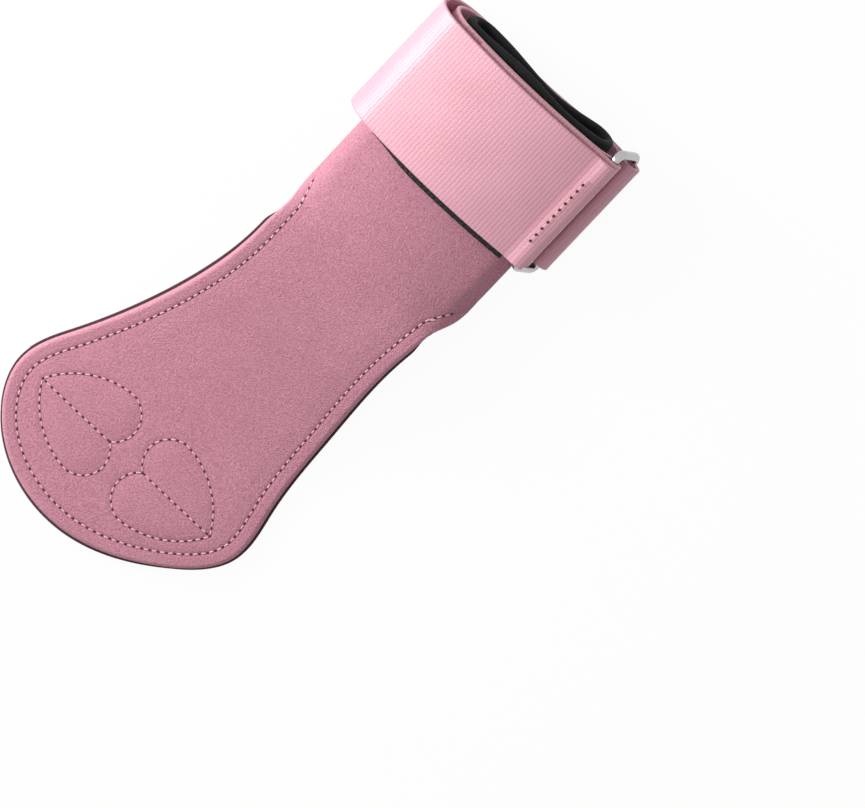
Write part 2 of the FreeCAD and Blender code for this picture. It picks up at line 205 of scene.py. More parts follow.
def spline_through(points: np.ndarray, per_span: int) -> np.ndarray:
    """Smooth curve through points: a natural cubic spline over the length of its chords.

    The second derivatives come from one linear system, and each span is the usual cubic of its two
    end points and their second derivatives.

    Args:
        points: Points that the curve passes, one a row.
        per_span: Samples between one point and the next.

    Returns:
        The samples, one a row.
    """
    knots = np.concatenate([[0.0], np.cumsum(np.hypot(*np.diff(points, axis=0).T))])
    h = np.diff(knots)
    count = len(points)
    system = np.eye(count)
    right = np.zeros_like(points)
    inner = np.arange(1, count - 1)
    system[inner, inner - 1] = h[:-1]
    system[inner, inner] = 2 * (h[:-1] + h[1:])
    system[inner, inner + 1] = h[1:]
    slope = np.diff(points, axis=0) / h[:, None]
    right[1:-1] = 6 * np.diff(slope, axis=0)
    bend = np.linalg.solve(system, right)
    at = np.interp(np.linspace(0, count - 1, (count - 1) * per_span + 1), np.arange(count), knots)
    span = np.clip(np.searchsorted(knots, at, side="right") - 1, 0, count - 2)
    a = ((knots[span + 1] - at) / h[span])[:, None]
    b = 1.0 - a
    wide = (h[span] ** 2 / 6)[:, None]
    return (a * points[span] + b * points[span + 1]
            + wide * ((a ** 3 - a) * bend[span] + (b ** 3 - b) * bend[span + 1]))


def distance_to_line(x: np.ndarray, y: np.ndarray, line: np.ndarray) -> np.ndarray:
    """Least distance from many points to a line of short segments.

    Each segment is tried in turn against all the points at once: the point is projected on the
    segment, held within its ends, and the distance to that place is kept where it is the least.
    """
    best = np.full(x.shape, np.inf)
    for (ax, ay), (bx, by) in zip(line, line[1:]):
        dx, dy = bx - ax, by - ay
        long = dx * dx + dy * dy + 1e-12
        t = np.clip(((x - ax) * dx + (y - ay) * dy) / long, 0.0, 1.0)
        best = np.minimum(best, (x - ax - t * dx) ** 2 + (y - ay - t * dy) ** 2)
    return np.sqrt(best)


def inside_line(x: np.ndarray, y: np.ndarray, line: np.ndarray) -> np.ndarray:
    """Whether points lie inside a closed line: a ray to the right crosses it an odd number of times."""
    inside = np.zeros(x.shape, dtype=bool)
    for (ax, ay), (bx, by) in zip(line, np.roll(line, -1, axis=0)):
        if ay == by:
            continue
        crosses = ((ay > y) != (by > y)) & (x < (bx - ax) * (y - ay) / (by - ay) + ax)
        inside ^= crosses
    return inside


def closed_grid(outer: np.ndarray, inner: np.ndarray) -> tuple[np.ndarray, np.ndarray]:
    """Closed shell from an upper and a lower grid of points that share their rows and columns.

    Each cell of the upper grid is one face, each of the lower grid one face turned over, and a wall
    of faces runs round their common border.

    Args:
        outer: Upper points, rows by columns by 3.
        inner: Lower points, of the same shape.

    Returns:
        The points, one a row, and the faces as four indices a row.
    """
    rows, columns = outer.shape[:2]
    index = np.arange(rows * columns).reshape(rows, columns)
    quads = np.stack([index[:-1, :-1], index[:-1, 1:], index[1:, 1:], index[1:, :-1]], axis=-1).reshape(-1, 4)
    border = np.concatenate([index[0, :-1], index[:-1, -1], index[-1, :0:-1], index[:0:-1, 0]])
    after = np.roll(border, -1)
    step = rows * columns
    wall = np.stack([border, border + step, after + step, after], axis=-1)
    faces = np.concatenate([quads, quads[:, ::-1] + step, wall])
    return np.concatenate([outer.reshape(-1, 3), inner.reshape(-1, 3)]), faces


def tube_grid(rings: np.ndarray, closed: bool) -> tuple[np.ndarray, list]:
    """Faces of rings of points carried along a path, with a cap at each end unless it closes.

    Args:
        rings: Points, rings by points in a ring by 3.
        closed: Whether the last ring joins the first.

    Returns:
        The points, one a row, and the faces.
    """
    count, around = rings.shape[:2]
    index = np.arange(count * around).reshape(count, around)
    rows = np.concatenate([index, index[:1]]) if closed else index
    side = np.roll(rows, -1, axis=1)
    quads = np.stack([rows[:-1], side[:-1], side[1:], rows[1:]], axis=-1).reshape(-1, 4)
    faces = quads.tolist()
    if not closed:
        faces += [index[0, ::-1].tolist(), index[-1].tolist()]
    return rings.reshape(-1, 3), faces


def rounded_section(thickness: float, low: float, high: float, corner: float, across: int) -> np.ndarray:
    """Rounded rectangle, as (offset from the middle line, place along Y), in one turn round it.

    Each corner is a quarter circle, and each long side has evenly spaced points between them.

    Args:
        thickness: Size across the middle line.
        low: Lowest Y.
        high: Highest Y.
        corner: Radius of the corners, limited by half the thickness.
        across: Points on each long side.

    Returns:
        The points, one a row.
    """
    half = thickness / 2
    corner = min(corner, half * 0.98)
    quarter = np.linspace(0.0, math.pi / 2, 5)
    parts = []
    for k, (w, y) in enumerate(((half, high), (-half, high), (-half, low), (half, low))):
        turn = quarter + k * math.pi / 2
        centre_w = w - math.copysign(corner, w)
        centre_y = y + (corner if k >= 2 else -corner)
        parts.append(np.stack([centre_w + corner * np.cos(turn), centre_y + corner * np.sin(turn)], axis=1))
        if k in (1, 3):
            share = np.linspace(0.0, 1.0, across + 2)[1:-1]
            ends = (high - corner, low + corner) if k == 1 else (low + corner, high - corner)
            side_w = -half if k == 1 else half
            parts.append(np.stack([np.full(across, side_w), ends[0] + share * (ends[1] - ends[0])], axis=1))
    return np.concatenate(parts)


class Workshop:
    """Makes the finished Blender objects from points and faces in the cuff's own millimetres."""

    SELVEDGE = 0.10
    SELVEDGE_SPAN = (0.6, 2.0)
    RIPPLE_ALONG = 0.19
    RIPPLE_ACROSS = 0.23
    RIPPLE_START = 1.1
    THIN_END = 0.12

    def __init__(self, place: Place) -> None:
        """Keep the cuff's place, which every mesh gets."""
        self.place = place

    def make(self, name: str, points: np.ndarray, faces: list, uv: np.ndarray | None = None,
             marks: dict[str, np.ndarray] | None = None, smooth_angle: float = 40.0) -> bpy.types.Object:
        """Make one closed mesh object at the origin, with its faces outwards.

        Args:
            name: Name of the object.
            points: Points in the cuff's own millimetres, one a row.
            faces: Faces as lists of indices.
            uv: Millimetres along and across the piece for each point, for patterns that follow it.
            marks: Named values from 0 to 1 for each point, for the materials.
            smooth_angle: Greatest angle between faces that is shaded smooth, in degrees.

        Returns:
            The object.
        """
        mesh = bpy.data.meshes.new(name)
        mesh.from_pydata(self.place.metres(points).tolist(), [], [list(map(int, face)) for face in faces])
        corners = np.empty(len(mesh.loops), dtype=np.int32)
        mesh.loops.foreach_get("vertex_index", corners)
        if uv is not None:
            layer = mesh.uv_layers.new(name="cloth")
            layer.data.foreach_set("uv", uv[corners].astype(np.float32).ravel())
        for key, values in (marks or {}).items():
            mark = mesh.attributes.new(key, "FLOAT", "POINT")
            mark.data.foreach_set("value", values.astype(np.float32))
        mesh.polygons.foreach_set("use_smooth", np.ones(len(mesh.polygons), dtype=bool))
        mesh.update()
        shape = bmesh.new()
        shape.from_mesh(mesh)
        bmesh.ops.recalc_face_normals(shape, faces=shape.faces)
        if shape.calc_volume(signed=True) < 0:
            bmesh.ops.reverse_faces(shape, faces=shape.faces)
        shape.to_mesh(mesh)
        shape.free()
        mesh.set_sharp_from_angle(angle=math.radians(smooth_angle))
        piece = bpy.data.objects.new(name, mesh)
        bpy.context.scene.collection.objects.link(piece)
        log.info("%s: %d points, %d faces", name, len(mesh.vertices), len(mesh.polygons))
        return piece

    def band(self, name: str, route: Route, thickness: float, low: float, high: float,
             corner: float, across: int = 24, ripple: float = 0.0,
             taper: float = 0.0) -> bpy.types.Object:
        """Make a strip of cloth whose middle follows a route, between two places along Y.

        A point is the route's point plus its offset along the route's left side. The edges thicken a
        little over the last millimetre and a half, as a selvedge does, and a slow ripple lifts the
        strip by the product of two sines.

        Args:
            name: Name of the object.
            route: The middle line.
            thickness: Thickness of the cloth.
            low: Lowest Y.
            high: Highest Y.
            corner: Radius of the edges.
            across: Points across each face.
            ripple: Height of the ripple.
            taper: Length at the end over which the cloth thins towards its left side.

        Returns:
            The object, with a UV map in millimetres along and across.
        """
        section = rounded_section(thickness, low, high, corner, across)
        points, faces = tube_grid(self.swept(route, section, low, high, ripple, taper), False)
        along = np.repeat(route.lengths, len(section))
        uv = np.stack([along, points[:, 1]], axis=1)
        return self.make(name, points, faces, uv=uv)

    @staticmethod
    def swept(route: Route, section: np.ndarray, low: float, high: float, ripple: float,
              taper: float = 0.0) -> np.ndarray:
        """Rings of a section carried along a route, offset to its left side and thinned at the end."""
        shop = Workshop
        edge = np.minimum(section[:, 1] - low, high - section[:, 1])
        selvedge = 1.0 + shop.SELVEDGE * (1.0 - smooth_step(edge, *shop.SELVEDGE_SPAN))
        offset = (section[:, 0] * selvedge)[None, :]
        across = np.sin(section[None, :, 1] * shop.RIPPLE_ACROSS + shop.RIPPLE_START)
        offset = offset + ripple * np.sin(route.lengths[:, None] * shop.RIPPLE_ALONG) * across
        if taper > 0.0:
            left = route.lengths[-1] - route.lengths[:, None]
            thin = shop.THIN_END + (1.0 - shop.THIN_END) * smooth_step(left, 0.0, taper)
            offset = offset.max() - (offset.max() - offset) * thin
        head = route.headings[:, None]
        x = route.points[:, :1] - np.sin(head) * offset
        z = route.points[:, 1:] + np.cos(head) * offset
        y = np.broadcast_to(section[None, :, 1], x.shape)
        return np.stack([x, y, z], axis=-1)


@dataclass(frozen=True)
class CuffSizes:
    """Section of the cuff and the heights of the layers over it, in millimetres."""

    front_radius: float = 124.0
    back_radius: float = 60.0
    depth: float = 12.0
    half_width: float = 34.0
    neoprene: float = 3.5
    neoprene_low: float = 47.0
    neoprene_high: float = 115.0
    leather: float = 1.8
    wrap_half_width: float = 37.0
    wrap_high: float = 107.0
    wing_low: float = 45.0
    wing_gap: float = 36.0
    webbing: float = 1.4
    webbing_width: float = 50.0
    webbing_low: float = 63.2
    flap_shift: float = 1.0
    ply_gap: float = 0.1
    body_gap: float = 0.3
    base_left: float = 39.5
    base_right_slack: float = 1.0
    fold_slack: float = 5.3
    fold_radius: float = 13.5
    free_end: float = 40.3
    hem: float = 7.5
    loop_tape: float = 0.7
    hook_tape: float = 1.0
    tape_left: float = 28.0
    tape_right: float = 18.0
    loop_width: float = 42.0
    hook_width: float = 49.0
    edge_margin: float = 4.0
    hook_overhang: float = 1.8
    tab_length: float = 62.0
    tab_seam: float = 22.0
    ring_wire: float = 3.4
    ring_play: float = 0.8
    ring_end_clearance: float = 0.15
    ring_spacing: float = 14.8
    ring_corner: float = 2.9
    ring_tilt: float = 70.0
    ring_lift: float = 1.4
    foot_flat: float = 0.5


class CuffSection:
    """Round forms of the cuff's section, from which all straps and tapes take their routes."""

    def __init__(self, sizes: CuffSizes) -> None:
        """Work out the folds, the layer heights and the ring's bars."""
        s = self.s = sizes
        self.front_v = -s.front_radius
        self.back_v = -s.depth - s.back_radius
        self.leather_level = s.ply_gap
        self.base_level = self.leather_level + s.leather + s.ply_gap
        self.tab_level = self.base_level + s.webbing + s.ply_gap
        self.loop_level = self.tab_level + s.webbing + s.ply_gap
        self.hook_level = self.loop_level + s.loop_tape + s.body_gap
        self.flap_level = self.hook_level + s.hook_tape + s.ply_gap
        self.hem_level = self.flap_level + s.webbing + s.ply_gap
        self.tail_level = self.base_level + s.webbing + s.ply_gap
        self.wrap_outer = self.leather_level + s.leather
        base_outer = self.base_level + s.webbing
        base_right = s.wrap_half_width + s.ply_gap + s.webbing + s.base_right_slack
        self.neoprene_caps = [self.cap(0.0, s.half_width, side) for side in (-1, 1)]
        self.wrap_caps = [self.cap(self.wrap_outer, s.wrap_half_width, side) for side in (-1, 1)]
        self.base_caps = [
            self.cap(base_outer, reach, side) for reach, side in ((s.base_left, -1), (base_right, 1))
        ]
        self.tail_lobes = [cap.grown(s.ply_gap + s.webbing / 2, Turn.RIGHT) for cap in self.base_caps]
        self.upper_bar, self.lower_bar = self.ring_bars()
        self.table = min(lobe.v - lobe.radius for lobe in self.tail_lobes) - s.webbing / 2 + s.foot_flat
        self.middle_y = s.webbing_low + s.webbing_width / 2

    def cap(self, level: float, reach: float, side: int) -> RoundForm:
        """Round fold at a side that meets the front and back arcs smoothly and has a given reach.

        The fold's centre lies on a circle about the front arc's centre and on one about the back
        arc's, and its radius is halved in on until both give the same height.
        """
        front_radius, back_radius = self.s.front_radius + level, self.s.back_radius - level
        low, high = 0.5, reach - 0.5
        for _ in range(60):
            radius = (low + high) / 2
            across = reach - radius
            front = self.front_v + math.sqrt((front_radius - radius) ** 2 - across ** 2)
            back = self.back_v + math.sqrt((back_radius + radius) ** 2 - across ** 2)
            if front > back:
                low = radius
            else:
                high = radius
        return RoundForm(side * across, front, radius, Turn.LEFT)

    def front(self, level: float, turn: Turn) -> RoundForm:
        """Front arc at a height over the padded face."""
        return RoundForm(0.0, self.front_v, self.s.front_radius + level, turn)

    def back(self, level: float, turn: Turn) -> RoundForm:
        """Back arc at a depth under the padded face."""
        return RoundForm(0.0, self.back_v, self.s.back_radius - level, turn)

    def ring_bars(self) -> tuple[tuple[float, float], tuple[float, float]]:
        """Centres of the ring's upper bar, seated in the tab, and of its lower bar."""
        s = self.s
        fold = s.ring_wire / 2 + s.body_gap + s.webbing / 2
        cap = self.wrap_caps[1]
        over_cap = cap.radius + s.ply_gap + fold + s.webbing / 2
        from_front = s.front_radius + self.tab_level + s.webbing / 2 - fold + s.ring_lift
        gap = math.hypot(cap.u, cap.v - self.front_v)
        along = (from_front ** 2 + gap ** 2 - over_cap ** 2) / (2 * gap)
        aside = math.sqrt(from_front ** 2 - along ** 2)
        lean = math.atan2(cap.u, cap.v - self.front_v)
        u = along * math.sin(lean) + aside * math.cos(lean)
        v = self.front_v + along * math.cos(lean) - aside * math.sin(lean)
        tilt = math.radians(s.ring_tilt)
        return (u, v), (u + s.ring_spacing * math.cos(tilt), v - s.ring_spacing * math.sin(tilt))


@dataclass(frozen=True)
class PalmSizes:
    """Outline, side view and sewing of the palm pad, in millimetres."""

    leather: float = 1.8
    core: float = 1.6
    lining: float = 1.0
    flex: float = 22.0
    slope_start: float = 34.0
    slope_end: float = -72.0
    curl_start: float = -114.0
    curl_radius: float = 64.0
    neck: tuple[float, float] = (37.5, 33.4)
    waist_y: float = 6.0
    waist: tuple[float, float] = (37.1, 31.2)
    flare_y: float = -40.0
    flare: tuple[float, float] = (45.8, 31.6)
    hip_y: float = -72.0
    hip: tuple[float, float] = (59.4, 34.4)
    corner_y: float = -94.0
    corner: tuple[float, float] = (67.5, 36.4)
    shoulder_y: float = -114.0
    shoulder: tuple[float, float] = (59.2, 20.6)
    apex_x: float = -21.5
    tip: float = -129.6
    heart_y: float = -93.8
    heart_mirror: float = -16.0
    heart_notch: float = 8.1
    heart_inner: tuple[float, float] = (4.0, 11.0)
    heart_crown: tuple[float, float] = (13.0, 18.8)
    heart_side: tuple[float, float] = (25.0, 15.6)
    heart_point: float = 40.9
    seam_inset: float = 5.4
    seam_end: float = 32.0
    stitch_pitch: float = 3.0
    lining_end: float = 45.5
    lining_proud: float = 0.95


def arc_through(a: tuple[float, float], b: tuple[float, float], c: tuple[float, float],
                count: int = 24) -> np.ndarray:
    """Points on the circle through three points, from the first by the second to the third.

    The centre is where the middle normals of the two chords cross.
    """
    (ax, ay), (bx, by), (cx, cy) = a, b, c
    system = np.array([[bx - ax, by - ay], [cx - bx, cy - by]])
    right = np.array([bx ** 2 - ax ** 2 + by ** 2 - ay ** 2, cx ** 2 - bx ** 2 + cy ** 2 - by ** 2]) / 2
    ux, uy = np.linalg.solve(system, right)
    angles = np.unwrap([math.atan2(y - uy, x - ux) for x, y in (a, b, c)])
    turn = np.linspace(angles[0], angles[2], count)
    radius = math.hypot(ax - ux, ay - uy)
    return np.stack([ux + radius * np.cos(turn), uy + radius * np.sin(turn)], axis=1)


class LeatherMap:
    """Lays the flat leather, as cut and measured from its middle line, over the pad and the cuff.

    A place on the leather is (s, y): s is measured across the hand along the leather itself. Over the
    palm the leather is flat across, at the height of the pad's side view. Over the cuff it follows the
    front arc, the folds and the back arc. Between the two, the point eases from one to the other.
    """

    ROUND_BEFORE = 14.0
    ROUND_END = 33.0
    NECK_BEFORE = 2.0
    NECK_END = 37.0
    NECK_SLACK = 1.0
    WING_RUN = 3.0

    def __init__(self, palm: PalmSizes, section: CuffSection) -> None:
        """Work out the outline of the flat leather and its route round the cuff."""
        self.p = palm
        self.section = section
        level = section.wrap_outer
        right = section.wrap_caps[1]
        top = section.front(level, Turn.RIGHT)
        back = section.back(level, Turn.LEFT)
        right_cap = RoundForm(right.u, right.v, right.radius, Turn.RIGHT)
        end = heading_between(right_cap, back)
        half = lay_route([top, right_cap, back], 0.0, end + 0.75, spacing=0.5)
        self.side = float(half.lengths[np.argmax(half.points[:, 0])])
        at_gap = np.argmax((half.points[:, 0] < section.s.wing_gap / 2) & (half.lengths > self.side))
        self.wing = float(half.lengths[at_gap])
        self.half = half
        self.left_line, self.right_line = self.outline_lines()

    def outline_lines(self) -> tuple[np.ndarray, np.ndarray]:
        """Left and right edges of the palm as (s, y), each from the tip up to the flex line."""
        p = self.p
        rows = ((p.flex, p.neck), (p.waist_y, p.waist), (p.flare_y, p.flare), (p.hip_y, p.hip),
                (p.corner_y, p.corner), (p.shoulder_y, p.shoulder))
        left = [(-wide[0], y) for y, wide in rows]
        right = [(wide[1], y) for y, wide in reversed(rows)]
        line = spline_through(np.array(left + [(p.apex_x, p.tip)] + right), 60)
        lowest = int(np.argmin(line[:, 1]))
        return line[lowest::-1], line[lowest:]

    def reach(self, y: np.ndarray, side: int) -> np.ndarray:
        """Distance from the middle line to the leather's edge, along the leather.

        It is the outline up to the flex line. Beyond it the edge eases out to the cuff's side, and
        then to the ends of the wings.
        """
        line = self.left_line if side < 0 else self.right_line
        palm = side * np.interp(y, line[:, 1], line[:, 0])
        neck_share = smooth_step(y, self.p.flex - self.NECK_BEFORE, self.NECK_END)
        neck = palm + (self.side + self.NECK_SLACK - palm) * neck_share
        wing_share = smooth_step(y, self.ROUND_END, self.section.s.wing_low + self.WING_RUN)
        return neck + (self.wing - neck) * wing_share

    def tip_row(self) -> float:
        """Place of the tip's lowest row."""
        return float(self.left_line[0, 1])

    def outline(self, high: float) -> np.ndarray:
        """Closed outline of the flat leather up to a place along the hand."""
        y = np.linspace(self.p.flex, high, 200)
        left = np.stack([-self.reach(y, -1), y], axis=1)
        right = np.stack([self.reach(y, 1), y], axis=1)
        return np.concatenate([left[::-1], self.left_line[::-3], self.right_line[::3], right])

    def top(self, y: np.ndarray) -> np.ndarray:
        """Height of the leather over the palm: a convex bend, a hollow bend, the flat and the curl."""
        p = self.p
        crest = self.section.wrap_outer
        flat = self.section.table + p.leather + p.core + p.lining
        drop = crest - flat
        bend = ((p.slope_start - p.slope_end) ** 2 + drop ** 2) / (4 * drop)
        middle = (p.slope_start + p.slope_end) / 2
        upper = crest - bend + np.sqrt(bend ** 2 - np.clip(p.slope_start - y, 0.0, bend) ** 2)
        lower = flat + bend - np.sqrt(bend ** 2 - np.clip(y - p.slope_end, 0.0, bend) ** 2)
        curl = p.curl_radius - np.sqrt(p.curl_radius ** 2 - np.clip(p.curl_start - y, 0.0, 60.0) ** 2)
        return np.where(y > middle, upper, lower) + curl

    def at(self, s: np.ndarray, y: np.ndarray) -> np.ndarray:
        """Point of the leather's face for places on the flat leather."""
        side = np.sign(s)
        x = side * np.interp(np.abs(s), self.half.lengths, self.half.points[:, 0])
        z = np.interp(np.abs(s), self.half.lengths, self.half.points[:, 1])
        share = smooth_step(y, self.p.flex - self.ROUND_BEFORE, self.ROUND_END)
        return np.stack([s + share * (x - s), y, self.top(y) + share * (z - self.top(y))], axis=-1)

    def raised(self, s: np.ndarray, y: np.ndarray, rise: np.ndarray) -> np.ndarray:
        """Point at a height over the leather's face: the face plus its unit normal times the height.

        The normal is the cross product of the two central differences of the face.
        """
        step = 0.25
        across = self.at(s + step, y) - self.at(s - step, y)
        along = self.at(s, y + step) - self.at(s, y - step)
        normal = np.cross(across, along)
        normal /= np.linalg.norm(normal, axis=-1, keepdims=True)
        return self.at(s, y) + normal * np.asarray(rise)[..., None]

    def thickness(self, y: np.ndarray) -> np.ndarray:
        """Thickness of leather and foam: full over the palm, leather alone on the cuff."""
        p = self.p
        return p.leather + p.core * (1.0 - smooth_step(y, 10.0, self.ROUND_END))


@dataclass(frozen=True)
class Relief:
    """Widths and heights of the suede's relief, in millimetres."""

    fall: float = 1.7
    # Width of the painted highlight along the suede's edge.
    rim_highlight: float = 2.4
    seam_width: float = 0.8
    seam_depth: float = 0.26
    seam_fade: float = 12.0
    swell: float = 0.35
    swell_end: float = 14.0
    heart_width: float = 0.75
    heart_depth: float = 0.28
    heart_lift: float = 0.38
    heart_run: float = 6.5
    spine_width: float = 0.7
    spine_depth: float = 0.25


class PalmPad:
    """The suede pad with its stitched hearts, the neck and wings on the cuff, and the lining."""

    ROWS = 270
    COLUMNS = 150
    RELIEF = Relief()
    LINING_GAP = 0.05
    LINING_RIM = 0.3
    LINING_HALF = 34.0
    LINING_SPREAD = 60.0
    LINING_NARROWS = (16.0, 30.0)
    PROUD_SPAN = 3.0
    PROUD_ENDS = (10.0, 22.0)
    TIP_CENTRE = -70.0
    TIP_START = -90.0

    def __init__(self, shop: Workshop, leather: LeatherMap) -> None:
        """Keep the workshop and the leather's map, and draw the hearts."""
        self.shop = shop
        self.map = leather
        self.p = leather.p
        self.hearts = [self.heart(side) for side in (-1, 1)]

    def heart(self, side: int) -> np.ndarray:
        """Closed outline of one heart, lying on its side, from two arcs to each half."""
        p = self.p

        def spot(across: float, rise: float) -> tuple[float, float]:
            return p.heart_mirror + side * across, p.heart_y + rise

        halves = []
        for way in (1, -1):
            crown = spot(p.heart_crown[0], way * p.heart_crown[1])
            inner = spot(p.heart_inner[0], way * p.heart_inner[1])
            flank = spot(p.heart_side[0], way * p.heart_side[1])
            lobe = arc_through(spot(p.heart_notch, 0.0), inner, crown)
            rest = arc_through(crown, flank, spot(p.heart_point, 0.0))
            halves.append(np.concatenate([lobe, rest[1:]]))
        return np.concatenate([halves[0], halves[1][-2::-1]])

    def spine(self, side: int) -> np.ndarray:
        """Sewn line through the middle of a heart, from its notch to its point."""
        p = self.p
        across = np.array([p.heart_notch + 0.8, p.heart_point - 1.5])
        return np.stack([p.heart_mirror + side * across, np.full(2, p.heart_y)], axis=1)

    def seam(self) -> np.ndarray:
        """Sewn line inside the edge: the outline moved in by the seam's inset, up to its two ends."""
        line = self.map.outline(self.map.section.s.wrap_high)
        way = np.roll(line, -1, axis=0) - np.roll(line, 1, axis=0)
        way /= np.linalg.norm(way, axis=1, keepdims=True)
        inward = np.stack([-way[:, 1], way[:, 0]], axis=1)
        row = (line + inward * self.p.seam_inset)[3:-3]
        return row[row[:, 1] < self.p.seam_end]

    def relief(self, s: np.ndarray, y: np.ndarray) -> tuple[np.ndarray, dict[str, np.ndarray]]:
        """Height of the suede over its plain face, and the marks that its colour reads: painted shade along
        the sewn lines and a painted highlight along the edge.

        The edge falls off as a quarter ellipse over its last 1.7 mm. Each sewn line presses a groove
        with the shape of a bell, the foam swells a little inside the edge seam, and each heart swells
        by an eased share of its distance from its own outline.
        """
        form, inset = self.RELIEF, self.p.seam_inset
        edge = distance_to_line(s, y, self.map.outline(self.map.section.s.wrap_high))
        span = np.minimum(form.fall, self.map.thickness(y) * 0.5)
        fall = span * (np.sqrt(1.0 - np.clip(1.0 - edge / span, 0.0, 1.0) ** 2) - 1.0)
        on_palm = 1.0 - smooth_step(y, self.p.seam_end, self.p.seam_end + form.seam_fade)
        seam = np.exp(-((edge - inset) / form.seam_width) ** 2) * on_palm
        swell = form.swell * smooth_step(edge, inset, form.swell_end) * on_palm
        rise = fall - form.seam_depth * seam + swell
        # The groove mark drives painted shade: the suede's colour is darkened along the sewn lines.
        groove = seam
        for side, heart in zip((-1, 1), self.hearts):
            gap = distance_to_line(s, y, np.concatenate([heart, heart[:1]]))
            line = np.exp(-(gap / form.heart_width) ** 2)
            middle = np.exp(-(distance_to_line(s, y, self.spine(side)) / form.spine_width) ** 2)
            inside = inside_line(s, y, heart)
            lift = np.where(inside, form.heart_lift * smooth_step(gap, 0.0, form.heart_run), 0.0)
            rise = rise + lift - form.heart_depth * line - form.spine_depth * middle
            groove = np.maximum(groove, np.maximum(line, 0.8 * middle))
        # Painted highlight: the suede's colour is made paler within this width of its edge.
        rim_highlight = 1.0 - smooth_step(edge, 0.0, form.rim_highlight)
        return rise, {"groove": groove, "rim": rim_highlight}

    def rows_and_columns(self, high: float) -> tuple[np.ndarray, np.ndarray]:
        """Grid of places on the flat leather, closer together near the tip and the two edges.

        A row's place follows one minus a cosine from the tip, and a place in a row follows a sine
        between the left and the right edge.
        """
        tip = self.map.tip_row()
        turn = np.linspace(0.012, math.pi / 2, self.ROWS)
        y_row = tip + (high - tip) * (1.0 - np.cos(turn))
        share = np.sin(np.linspace(-math.pi / 2, math.pi / 2, self.COLUMNS))
        left = -self.map.reach(y_row, -1)
        right = self.map.reach(y_row, 1)
        s = (left + right)[:, None] / 2 + share[None, :] * (right - left)[:, None] / 2
        return s, np.broadcast_to(y_row[:, None], s.shape)

    def suede(self) -> bpy.types.Object:
        """Suede face with its foam: one closed slab from the tip to the top of the cuff."""
        s, y = self.rows_and_columns(self.map.section.s.wrap_high)
        rise, marks = self.relief(s, y)
        depth = self.map.thickness(y)
        edge = distance_to_line(s, y, self.map.outline(self.map.section.s.wrap_high))
        tuck = 0.5 * (1.0 - smooth_step(edge, 0.0, 0.8))
        outer = self.map.raised(s, y, rise)
        inner = self.map.raised(s, y, -depth + tuck)
        points, faces = closed_grid(outer, inner)
        flat = np.stack([s.ravel(), y.ravel()], axis=1)
        uv = np.concatenate([flat, flat])
        both = {key: np.concatenate([value.ravel(), np.zeros(value.size)]) for key, value in marks.items()}
        both["back"] = np.concatenate([np.zeros(s.size), np.ones(s.size)])
        piece = self.shop.make("suede_palm", points, faces, uv=uv, marks=both, smooth_angle=60.0)
        self.settle(piece, "suede", 0.85)
        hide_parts("palm_leather", "palm_core", "palm_pad_left", "palm_pad_right",
                    "neck_leather", "cuff_leather")
        return piece

    def lining(self) -> bpy.types.Object:
        """Dark lining under the pad, a little proud of the suede all round."""
        p = self.p
        s, y = self.rows_and_columns(p.lining_end)
        narrow = self.LINING_HALF + self.LINING_SPREAD * (1.0 - smooth_step(y, *self.LINING_NARROWS))
        s = np.sign(s) * np.minimum(np.abs(s), narrow)
        gap = distance_to_line(s, y, self.map.outline(p.lining_end + 20.0))
        proud = p.lining_proud * (1.0 - smooth_step(gap, 0.0, self.PROUD_SPAN))
        proud = proud * (1.0 - smooth_step(y, *self.PROUD_ENDS))
        away = np.stack([s - p.apex_x, (y - self.TIP_CENTRE) * (y < self.TIP_START)], axis=-1)
        away /= np.linalg.norm(away, axis=-1, keepdims=True) + 1e-9
        s2, y2 = s + away[..., 0] * proud, y + away[..., 1] * proud
        under = -self.map.thickness(y) - self.LINING_GAP
        rim = self.LINING_RIM * (1.0 - smooth_step(gap, 0.0, 1.0))
        outer = self.map.raised(s2, y2, under)
        inner = self.map.raised(s2, y2, under - p.lining + rim)
        points, faces = closed_grid(outer, inner)
        flat = np.stack([s.ravel(), y.ravel()], axis=1)
        piece = self.shop.make("palm_lining_cloth", points, faces, uv=np.concatenate([flat, flat]))
        self.settle(piece, "lining", 0.8)
        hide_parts("palm_lining")
        return piece

    def settle(self, piece: bpy.types.Object, slot: str, fill: float | None) -> None:
        """Bake a piece's transform into its mesh."""
        place = self.shop.place
        start = place.metres(np.array([0.0, self.p.flex - BLEND_REACH, 0.0]))
        end = place.metres(np.array([0.0, self.p.flex + BLEND_REACH, 0.0]))
        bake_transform(piece)


